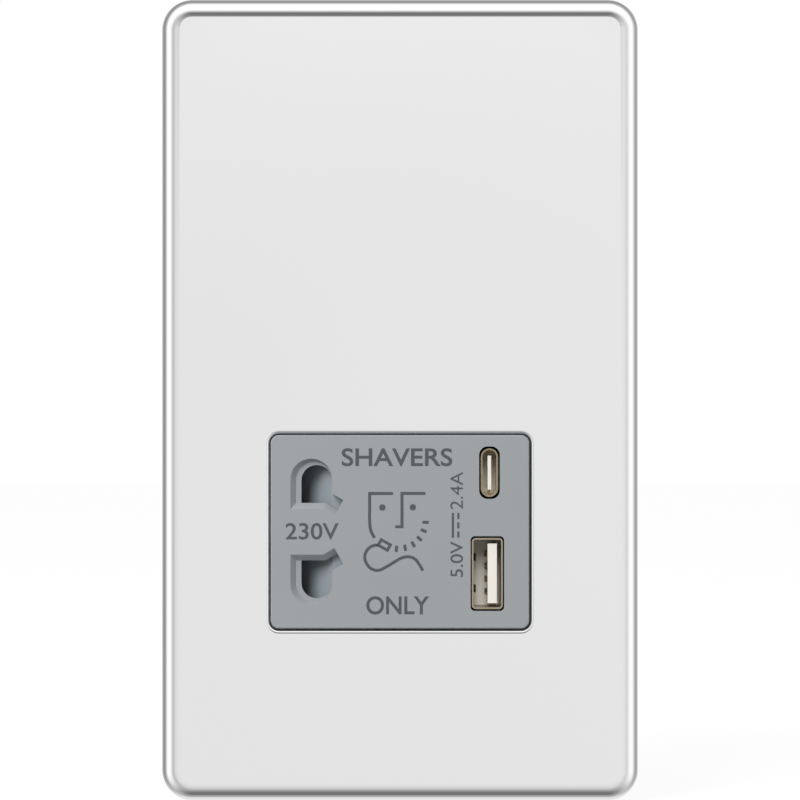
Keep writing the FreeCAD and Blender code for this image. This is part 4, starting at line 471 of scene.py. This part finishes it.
def metal(name, light, dark, roughness, patch, cut=None):
    """Bare or plated metal: a drift of tone over patches of a size, with fine drawing marks.

    A cut colour is the duller tone of a sheet's cut edge, where it faces the front.
    """
    material, tree, place = start_material(name)
    drift = add_node(tree, "TexNoise", {"Vector": place, "Scale": 1 / (patch * MM), "Detail": 3.0})
    marks = add_node(tree, "TexNoise", {"Vector": place, "Scale": 1 / (0.15 * MM), "Roughness": 0.6})
    share = add_node(tree, "MapRange", {"Value": drift, "From Min": 0.3, "From Max": 0.7})
    colour = add_node(tree, "Mix", {"Factor": share, "A": linear(dark), "B": linear(light)}, data_type="RGBA")
    if cut:
        normal = add_node(tree, "NewGeometry").outputs["Normal"]
        facing = add_node(tree, "SeparateXYZ", {"Vector": normal}).outputs["Y"]
        edge = add_node(tree, "Math", {0: facing, 1: -0.9}, operation="LESS_THAN")
        colour = add_node(tree, "Mix", {"Factor": edge, "A": colour, "B": linear(cut)}, data_type="RGBA")
    gloss = add_node(tree, "MapRange", {"Value": drift, "To Min": roughness + 0.06,
                                        "To Max": roughness - 0.04})
    relief = add_node(tree, "Bump", {"Height": marks, "Distance": 0.001 * MM})
    end_material(tree, add_node(tree, "BsdfPrincipled", {
        "Base Color": colour, "Metallic": 1.0, "Roughness": gloss, "Normal": relief}))
    return material


COIL_START, COIL_END = -0.75, 10.05
COIL_RADIUS = 1.75
COIL_TURNS = 7
COIL_STEPS = 24
WIRE_RADIUS = 0.2
WIRE_SIDES = 10
SPRING_AXIS = (-0.6, WINDOW_RISE)


def wind(piece, axis, pitch, turns, steps):
    """Sweeps an outline round an axis through its origin, and caps the two ends."""
    modify(piece, "SCREW", axis=axis, screw_offset=pitch * MM, iterations=turns, steps=steps,
           render_steps=steps, use_merge_vertices=False)
    lone(piece)
    bpy.ops.object.mode_set(mode="EDIT")
    bpy.ops.mesh.select_all(action="SELECT")
    bpy.ops.mesh.fill_holes(sides=0)
    bpy.ops.mesh.select_all(action="SELECT")
    bpy.ops.mesh.normals_make_consistent(inside=False)
    close_edit()


bpy.ops.object.select_all(action="DESELECT")
bpy.ops.mesh.primitive_circle_add(vertices=WIRE_SIDES, radius=WIRE_RADIUS * MM,
                                  location=(0, COIL_RADIUS * MM, 0))
spring = bpy.context.object
spring.name = "return_spring"
settle(spring)
spring.location = (COIL_START * MM, SPRING_AXIS[0] * MM, SPRING_AXIS[1] * MM)
wind(spring, "X", (COIL_END - COIL_START) / COIL_TURNS, COIL_TURNS, COIL_STEPS)
settle(spring)
smooth(spring, 50)
give(spring, metal("cold_drawn_spring_steel", "#B9BCBF", "#A0A3A6", 0.24, 0.8))
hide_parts("shutter_spring")
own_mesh(spring)

# Pin contacts and their carrier
# Each contact is a folded brass strip in a cell of a white PBT moulding. The
# brass has browned unevenly, and the PBT is a dense, faintly warm white.

dress(metal("rolled_brass_strip", "#D2AD5B", "#B88D3F", 0.3, 2.5), "upper_contact", "lower_contact")
dress(moulded("dense_white_pbt", "#DEDCD4", "#D6D3C9", 0.4, 0.3, 0.004), "contact_carrier")

# Microswitch
# A sealed black case with a white plunger, which the shutter's tail presses.
# Its three tinned legs pass through the charging board.

dress(moulded("sealed_black_nylon", "#262729", "#1F2022", 0.36, 0.2, 0.004), "switch_body")
dress(moulded("white_acetal_plunger", "#E4E2DB", "#DAD7CE", 0.34, 0.3, 0.002), "switch_plunger")
dress(metal("dull_tinned_brass", "#CBCBC7", "#B4B4AF", 0.34, 0.9), "switch_pins", "link_pins", "bobbin_pins")

# Circuit boards
# Glass epoxy laminate, coated green over its copper tracks. The tracks show
# through the coating as slightly raised, lighter lines.


def laminate():
    """Solder-masked laminate: glossy green, lighter and a hair higher over the copper."""
    material, tree, place = start_material("green_masked_laminate")
    flat = add_node(tree, "Mapping", {"Vector": place, "Scale": (1.0, 0.0, 1.0)})
    cells = add_node(tree, "TexVoronoi", {"Vector": flat, "Scale": 1 / (4.5 * MM), "Randomness": 0.85},
                     voronoi_dimensions="3D", feature="F1", distance="MANHATTAN")
    lines = add_node(tree, "Math", {0: cells, 1: 3.0}, operation="MULTIPLY")
    tracks = add_node(tree, "Math", {0: lines, 1: 1.0}, operation="PINGPONG")
    copper = add_node(tree, "Math", {0: tracks, 1: 0.62}, operation="GREATER_THAN")
    colour = add_node(tree, "Mix", {"Factor": copper, "A": linear("#17492F"), "B": linear("#2B6A45")},
                      data_type="RGBA")
    clouds = add_node(tree, "TexNoise", {"Vector": place, "Scale": 1 / (3 * MM)})
    gloss = add_node(tree, "MapRange", {"Value": clouds, "To Min": 0.22, "To Max": 0.32})
    relief = add_node(tree, "Bump", {"Height": copper, "Distance": 0.03 * MM})
    end_material(tree, add_node(tree, "BsdfPrincipled", {
        "Base Color": colour, "Roughness": gloss, "Normal": relief}))
    return material


dress(laminate(), "charging_board", "main_board")
dress(moulded("black_pin_strip_nylon", "#252628", "#1F2022", 0.42, 0.2, 0.004), "link_strip")

# Charging ports
# Shells folded from nickel-plated steel over moulded ivory tongues, on the
# charging board. The small oval port's plating is a lighter copy, painted light
# for its shaded inside, and the larger port has spring leaves in its shell and bowed contacts on its tongue,
# both darkened as painted shade.

dress(metal("satin_nickel_plate", "#C3BAA7", "#B3A992", 0.45, 2.0, "#928977"), "usb_a_shell")
# The oval port's shell gets a lighter copy of the nickel plate than the larger port's: painted light that
# lifts its shaded interior.
dress(metal("lightened_nickel_plate", "#E8DEC6", "#D6CAAE", 0.85, 2.0, "#AA9F88"), "usb_c_shell")
dress(moulded("ivory_port_polymer", "#F1EEE6", "#EAE6DC", 0.38, 0.25, 0.003), "usb_a_tongue", "usb_c_tongue")


def leaf(name, across, deep, rise, width, bow):
    """A thin strip that bows out sideways halfway along, as a spring finger does."""
    strip = block(name, (across[0], deep[0], rise - width / 2), (across[1], deep[1], rise + width / 2))
    pick(strip, "EDGE", lambda edge: along(edge, 1))
    bpy.ops.mesh.subdivide(number_cuts=11)
    close_edit()
    for corner in strip.data.vertices:
        share = (corner.co.y / MM - deep[0]) / (deep[1] - deep[0])
        corner.co.x += bow * MM * math.sin(math.pi * share)
    return strip


PORT_RISE = -32.0
CONTACT_PITCH = 2.33
CONTACT_ACROSS = (16.06, 16.18)
CONTACT_DEEP = (-2.9, 4.4)
CONTACT_WIDTH = 1.0
CONTACT_BOW = -0.42
SPRING_APART = 5.8
SPRING_ACROSS = (13.36, 13.52)
SPRING_DEEP = (-1.7, 1.5)
SPRING_WIDTH = 1.4
SPRING_BOW = 0.55

contacts = [leaf("usb_a_contact_leaves", CONTACT_ACROSS, CONTACT_DEEP, PORT_RISE + step * CONTACT_PITCH,
                 CONTACT_WIDTH, CONTACT_BOW) for step in (-1.5, -0.5, 0.5, 1.5)]
lone(contacts[0])
for strip in contacts[1:]:
    strip.select_set(True)
bpy.ops.object.join()
smooth(contacts[0])
# The gold is darkened toward brown: painted shade of the contacts lying in their grooves on the tongue.
give(contacts[0], metal("shaded_gold_contact", "#9A8048", "#6F5A30", 0.34, 1.0))
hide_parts("usb_a_contacts")
for side in (-1, 1):
    spring_leaf = leaf("port_spring_leaf_%d" % (side + 2), SPRING_ACROSS, SPRING_DEEP,
                       PORT_RISE + side * SPRING_APART / 2, SPRING_WIDTH, SPRING_BOW)
    smooth(spring_leaf)
    # The leaves get a darker copy of the shell's nickel plate: painted shade of the leaves in the shell's
    # spring windows.
    give(spring_leaf, metal("shaded_spring_leaf_metal_%d" % (side + 2), "#8A8170", "#6E6657", 0.4, 1.0))

# Charger and supply components
# The parts that stand behind the boards: a ferrite core with its coil,
# sleeved capacitors, a fuse, a surge disc and the control chip.

ROWS_AT_SCALE_1 = 10 / math.pi


def wound(name, light, dark, roughness, axis, pitch, depth, shine=0.0):
    """Rows of wire or sheet edges at a pitch, each one rounded, with a drift of tone; the colour darkens
    between rows as painted shade in the grooves, which on a sheet stack also stands for the seams between
    sheets.
    """
    material, tree, place = start_material(name)
    rows = add_node(tree, "TexWave", {"Vector": place, "Scale": 1 / (ROWS_AT_SCALE_1 * pitch * MM)},
                    bands_direction=axis).outputs["Fac"]
    drift = add_node(tree, "TexNoise", {"Vector": place, "Scale": 1 / (2.2 * MM), "Detail": 3.0})
    # Rows times drift darkens the colour between rows: painted shade between turns of wire, and the real
    # seams between stamped sheets.
    shade = add_node(tree, "Math", {0: rows, 1: drift}, operation="MULTIPLY")
    share = add_node(tree, "MapRange", {"Value": shade, "From Max": 0.5})
    colour = add_node(tree, "Mix", {"Factor": share, "A": linear(dark), "B": linear(light)}, data_type="RGBA")
    gloss = add_node(tree, "MapRange", {"Value": drift, "To Min": roughness - 0.04,
                                        "To Max": roughness + 0.08})
    relief = add_node(tree, "Bump", {"Height": rows, "Distance": depth * MM})
    end_material(tree, add_node(tree, "BsdfPrincipled", {
        "Base Color": colour, "Metallic": shine, "Roughness": gloss, "Normal": relief}))
    return material


def sleeved(name, sleeve, top):
    """A shrunk plastic sleeve, with the can's bare aluminium showing at its free end."""
    material, tree, place = start_material(name)
    normal = add_node(tree, "NewGeometry").outputs["Normal"]
    facing = add_node(tree, "SeparateXYZ", {"Vector": normal}).outputs["Y"]
    bare = add_node(tree, "Math", {0: facing, 1: 0.85}, operation="GREATER_THAN")
    colour = add_node(tree, "Mix", {"Factor": bare, "A": linear(sleeve), "B": linear(top)}, data_type="RGBA")
    creases = add_node(tree, "TexNoise", {"Vector": place, "Scale": 1 / (1.2 * MM)})
    gloss = add_node(tree, "MapRange", {"Value": creases, "To Min": 0.24, "To Max": 0.38})
    relief = add_node(tree, "Bump", {"Height": creases, "Distance": 0.02 * MM})
    end_material(tree, add_node(tree, "BsdfPrincipled", {
        "Base Color": colour, "Metallic": bare, "Roughness": gloss, "Normal": relief}))
    return material


dress(moulded("sintered_ferrite", "#3B3C3E", "#2E2F31", 0.55, 0.12, 0.006), "charger_core")
dress(wound("enamelled_charger_coil", "#C47E4B", "#8E4F28", 0.28, "Y", 0.45, 0.12, 0.7), "charger_coil")
dress(sleeved("sleeved_capacitor", "#26282C", "#B9BCBF"), "large_capacitor", "small_capacitor")
dress(moulded("moulded_fuse_cap", "#2A2B2D", "#232426", 0.34, 0.3, 0.003), "fuse")
dress(moulded("dipped_blue_epoxy", "#2D5F9E", "#27548C", 0.3, 0.8, 0.02), "surge_disc")
dress(moulded("matt_chip_epoxy", "#2B2C2E", "#252628", 0.6, 0.12, 0.004), "control_chip")

# Isolating transformer
# A stack of stamped steel sheets round a nylon bobbin, with two enamelled
# copper windings under polyester tape. The sheet edges show as fine lines.

dress(wound("stamped_core_sheet", "#7F8387", "#4E5256", 0.42, "Y", 0.7, 0.06, 0.85),
      "core_e_stack", "core_i_stack")
dress(moulded("glass_filled_nylon", "#D9D4C4", "#CFC9B7", 0.46, 0.3, 0.006), "bobbin")
dress(wound("enamelled_copper_turns", "#BC6E3C", "#7E4120", 0.28, "Z", 0.42, 0.12, 0.7),
      "primary_winding", "secondary_winding")


def tape():
    """Polyester tape wound over itself: a satin film whose laps show as faint steps."""
    material, tree, place = start_material("wound_polyester_tape")
    laps = add_node(tree, "TexWave", {"Vector": place, "Scale": 1 / (ROWS_AT_SCALE_1 * 5.5 * MM),
                                      "Distortion": 0.4, "Detail": 1.0},
                    bands_direction="Z", wave_profile="SAW").outputs["Fac"]
    film = add_node(tree, "TexNoise", {"Vector": place, "Scale": 1 / (2.0 * MM), "Detail": 3.0})
    colour = add_node(tree, "Mix", {"Factor": film, "A": linear("#C9A21C"), "B": linear("#D8B32C")},
                      data_type="RGBA")
    gloss = add_node(tree, "MapRange", {"Value": film, "To Min": 0.26, "To Max": 0.4})
    relief = add_node(tree, "Bump", {"Height": laps, "Distance": 0.04 * MM})
    end_material(tree, add_node(tree, "BsdfPrincipled", {
        "Base Color": colour, "Roughness": gloss, "Normal": relief}))
    return material


dress(tape(), "primary_tape", "secondary_tape")
dress(moulded("potted_cutout_case", "#3A3B3D", "#313234", 0.44, 0.2, 0.005), "thermal_cutout")

# Supply terminals
# Three plated brass cages in a grey nylon block, each clamped by a screw. They
# stand in the open bay at the foot of the housing.

dress(moulded("grey_terminal_nylon", "#8E9194", "#85888B", 0.46, 0.2, 0.006), "terminal_block")
dress(metal("nickelled_brass_cage", "#C5C2B8", "#AFABA0", 0.3, 1.5), "terminal_cages")
zinc = metal("bright_zinc_plate", "#C3C8CD", "#A6ACB3", 0.27, 1.2)
dress(zinc, "terminal_screws", "core_screws", "housing_screws", "board_screws", "carrier_screws",
      "port_board_screws")

# Fixing screws
# Two long machine screws of 3.5 mm that hold the frame to the wall box. The
# thread is rolled, so its crests are as bright as the shank.


def rod(name, radius, front, back, sides=32):
    """A round bar along Y, in millimetres, to shape further."""
    bpy.ops.object.select_all(action="DESELECT")
    bpy.ops.mesh.primitive_cylinder_add(
        vertices=sides, radius=radius * MM, depth=(back - front) * MM,
        location=(0, (front + back) / 2 * MM, 0), rotation=(math.radians(90), 0, 0))
    piece = bpy.context.object
    piece.name = name
    settle(piece)
    return piece


SEAT = -1.4
HEAD = (3.4, 2.2)
HEAD_ROUND = 1.1
RECESS = (3.9, 1.0)
RECESS_SHARE = 0.45
CORE_RADIUS = 1.45
TIP = 23.6
TIP_CHAMFER = 0.7
PITCH = 0.6
THREAD_TURNS = 38
THREAD_STEPS = 20
RUN_OUT = 1.3
RUN_OUT_SHARE = 0.9
SPACING = 120.6

screw = rod("screw_head", HEAD[0], SEAT - HEAD[1], SEAT, 48)
round_edges(screw, HEAD_ROUND, 6, lambda edge: all_at(edge, 1, SEAT - HEAD[1]))
for wide, tall in (RECESS, RECESS[::-1]):
    recess = block("recess_tool", (-wide / 2, SEAT - HEAD[1] - PAST, -tall / 2),
                   (wide / 2, SEAT - HEAD[1] * RECESS_SHARE, tall / 2))
    carve(screw, recess)
shank = rod("screw_shank", CORE_RADIUS, SEAT - NEAR, TIP)
round_edges(shank, TIP_CHAMFER, 1, lambda edge: all_at(edge, 1, TIP))
bpy.ops.object.select_all(action="DESELECT")
bpy.ops.mesh.primitive_circle_add(vertices=4, radius=PITCH / 2 * MM, location=(CORE_RADIUS * MM, 0, 0))
ridge = bpy.context.object
settle(ridge)
ridge.location = (0, PITCH / 2 * MM, 0)
wind(ridge, "Y", PITCH, THREAD_TURNS, THREAD_STEPS)
settle(ridge)
pick(ridge, "VERT", lambda corner: corner.co.y > (TIP - RUN_OUT) * MM)
bpy.ops.transform.resize(value=(RUN_OUT_SHARE, 1, RUN_OUT_SHARE), center_override=(0, TIP * MM, 0))
close_edit()
lone(screw)
shank.select_set(True)
ridge.select_set(True)
bpy.ops.object.join()
screw.name = "fixing_screw_pair"
pick(screw, "VERT", lambda corner: True)
bpy.ops.transform.translate(value=(0, 0, SPACING / 2 * MM))
bpy.ops.mesh.duplicate()
bpy.ops.transform.translate(value=(0, 0, -SPACING * MM))
close_edit()
smooth(screw, 40)
give(screw, zinc)
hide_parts("fixing_screws")

# Camera, light and surroundings
# A light studio with a white ground: a sky of grey levels that the polish
# mirrors, one soft light from the upper left, a second one for the ports
# alone, which reaches deep into them, and a pale floor.

SENSOR = 36
CAMERA_AWAY = 0.8
RIM_PLANE = 0.002
VIEW_HEIGHT = PLATE[1] * MM

camera_data = bpy.data.cameras.new("camera")
camera = bpy.data.objects.new("camera", camera_data)
bpy.context.scene.collection.objects.link(camera)
camera.location = (0, -CAMERA_AWAY, 0)
camera.rotation_euler = (math.radians(90), 0, 0)
camera_data.sensor_width = SENSOR
camera_data.lens = SENSOR * (CAMERA_AWAY - RIM_PLANE) / VIEW_HEIGHT
bpy.context.scene.camera = camera

bpy.context.scene.view_settings.view_transform = "Standard"

SKY = {
    "left": ((0, 0.845), (2.5, 0.83), (12, 0.81), (22, 0.78), (29, 0.75), (34, 0.7), (39, 0.6),
             (44, 0.54), (49, 0.6), (55, 0.79), (62, 0.98), (70, 1.14), (81, 1.12), (89, 1.0),
             (98, 0.68), (108, 0.38), (119, 0.28), (132, 0.34), (150, 0.5), (180, 0.72)),
    "right": ((0, 0.845), (5, 0.855), (20, 0.83), (32, 0.79), (39, 0.71), (46, 0.71), (53, 0.82),
              (61, 0.96), (70, 1.06), (84, 1.05), (93, 0.9), (100, 0.7), (109, 0.46), (119, 0.36),
              (132, 0.42), (180, 0.9)),
    "top": ((0, 0.845), (2.5, 0.85), (4.4, 0.88), (5.1, 0.895), (6, 0.92), (6.9, 0.66), (8.5, 0.38),
            (13, 0.21), (29, 0.16), (36, 0.36), (42, 0.68), (50, 1.0), (58, 1.2), (90, 1.15),
            (105, 0.62), (116, 0.33), (130, 0.32), (180, 0.5)),
    "foot": ((0, 0.845), (5, 0.83), (9, 0.82), (22, 0.79), (38, 0.67), (54, 0.39), (67, 0.19),
             (84, 0.17), (98, 0.4), (127, 0.86), (180, 0.7)),
}
FULL_SKY = 1.25
MATT_LOSS = 0.5


def studio(world):
    """The surroundings, as grey levels by the degrees from the front.

    The front is a light card, the sides and the top are soft boxes, and the
    gaps between them are darker, which draws the plate's rolled edges. Matt
    surfaces get less of it than the polish mirrors, and the camera sees white.
    """
    world.use_nodes = True
    tree = world.node_tree
    tree.nodes.clear()
    place = add_node(tree, "TexCoord").outputs["Generated"]
    way = add_node(tree, "SeparateXYZ", {"Vector": place}).outputs
    front = add_node(tree, "Math", {0: way["Y"], 1: -1.0}, operation="MULTIPLY")
    turn = add_node(tree, "Math", {0: front}, operation="ARCCOSINE")
    angle = add_node(tree, "Math", {0: turn, 1: math.pi}, operation="DIVIDE")
    levels = {}
    for side, stops in SKY.items():
        ramp = add_node(tree, "ValToRGB", {"Fac": angle})
        ramp.color_ramp.interpolation = "EASE"
        while len(ramp.color_ramp.elements) < len(stops):
            ramp.color_ramp.elements.new(0.5)
        for element, (degrees, level) in zip(ramp.color_ramp.elements, stops):
            element.position = degrees / 180
            element.color = (level / FULL_SKY, level / FULL_SKY, level / FULL_SKY, 1)
        levels[side] = ramp
    across = add_node(tree, "Math", {0: way["X"], 1: way["X"]}, operation="MULTIPLY")
    upright = add_node(tree, "Math", {0: way["Z"], 1: way["Z"]}, operation="MULTIPLY")
    more_than_none = add_node(tree, "Math", {0: upright, 1: 1e-7}, operation="ADD")
    both = add_node(tree, "Math", {0: across, 1: more_than_none}, operation="ADD")
    spread = add_node(tree, "Math", {0: both}, operation="SQRT")
    rise = add_node(tree, "Math", {0: way["Z"], 1: spread}, operation="DIVIDE")
    aside = add_node(tree, "Math", {0: way["X"], 1: 0.0}, operation="GREATER_THAN")
    colour = add_node(tree, "Mix", {"Factor": aside, "A": levels["left"], "B": levels["right"]},
                      data_type="RGBA")
    for sign, side in ((1.0, "top"), (-1.0, "foot")):
        toward = add_node(tree, "Math", {0: rise, 1: sign}, operation="MULTIPLY")
        part = add_node(tree, "Math", {0: toward, 1: 0.0}, operation="MAXIMUM")
        share = add_node(tree, "Math", {0: part, 1: 2.0}, operation="POWER")
        colour = add_node(tree, "Mix", {"Factor": share, "A": colour, "B": levels[side]}, data_type="RGBA")
    matt = add_node(tree, "LightPath").outputs["Is Diffuse Ray"]
    loss = add_node(tree, "Math", {0: matt, 1: MATT_LOSS}, operation="MULTIPLY")
    strength = add_node(tree, "Math", {0: FULL_SKY, 1: loss}, operation="SUBTRACT")
    light = add_node(tree, "Background", {"Color": colour, "Strength": strength})
    white = add_node(tree, "Background", {"Color": (1, 1, 1, 1), "Strength": 1.0})
    seen = add_node(tree, "LightPath").outputs["Is Camera Ray"]
    mixed = add_node(tree, "MixShader", {0: seen, 1: light, 2: white})
    add_node(tree, "OutputWorld", {"Surface": mixed})


world = bpy.data.worlds.new("studio")
bpy.context.scene.world = world
studio(world)


def soft_box(name, place, lean, turn, size, energy, pieces, state):
    """An area light for some pieces alone, whose polish shows it, or unseen for all but them."""
    data = bpy.data.lights.new(name, "AREA")
    data.size = size
    data.energy = energy
    box = bpy.data.objects.new(name, data)
    bpy.context.scene.collection.objects.link(box)
    box.location = place
    box.rotation_euler = (math.radians(lean), 0, math.radians(turn))
    box.visible_glossy = state == "INCLUDE"
    lit = bpy.data.collections.new(name + "_pieces")
    for piece in pieces:
        lit.objects.link(piece)
    for entry in lit.collection_objects:
        entry.light_linking.link_state = state
    box.light_linking.receiver_collection = lit


ports = [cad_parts[node] for node in ("usb_a_shell", "usb_a_tongue", "usb_c_shell", "usb_c_tongue")]
ports += [contacts[0]]
soft_box("key_light", place=(-0.53, -0.97, 0.655), lean=58.2, turn=-28, size=0.7, energy=13.6,
         pieces=ports, state="EXCLUDE")
soft_box("port_light", place=(-0.086, -0.97, 0.53), lean=60.1, turn=-6, size=0.5, energy=8.6,
         pieces=ports, state="INCLUDE")

FLOOR = (box_low[2] - 0.5) * MM
FLOOR_SIZE = 6

bpy.ops.object.select_all(action="DESELECT")
bpy.ops.mesh.primitive_plane_add(size=FLOOR_SIZE, location=(0, 0, FLOOR))
floor = bpy.context.object
floor.name = "floor"


def pale_floor():
    """A white floor that shows a faint shadow, and glows a little to the camera alone."""
    material, tree, place = start_material("pale_floor")
    clouds = add_node(tree, "TexNoise", {"Vector": place, "Scale": 1 / 0.4})
    colour = add_node(tree, "Mix", {"Factor": clouds, "A": linear("#F2F2F0"), "B": linear("#F8F8F7")},
                      data_type="RGBA")
    matt = add_node(tree, "BsdfDiffuse", {"Color": colour})
    glow = add_node(tree, "Emission", {"Color": (1, 1, 1, 1), "Strength": 1.08})
    seen = add_node(tree, "LightPath").outputs["Is Camera Ray"]
    part = add_node(tree, "Math", {0: seen, 1: 0.85}, operation="MULTIPLY")
    end_material(tree, add_node(tree, "MixShader", {0: part, 1: matt, 2: glow}))
    return material


floor.data.materials.append(pale_floor())
floor.visible_glossy = False
floor.visible_diffuse = False
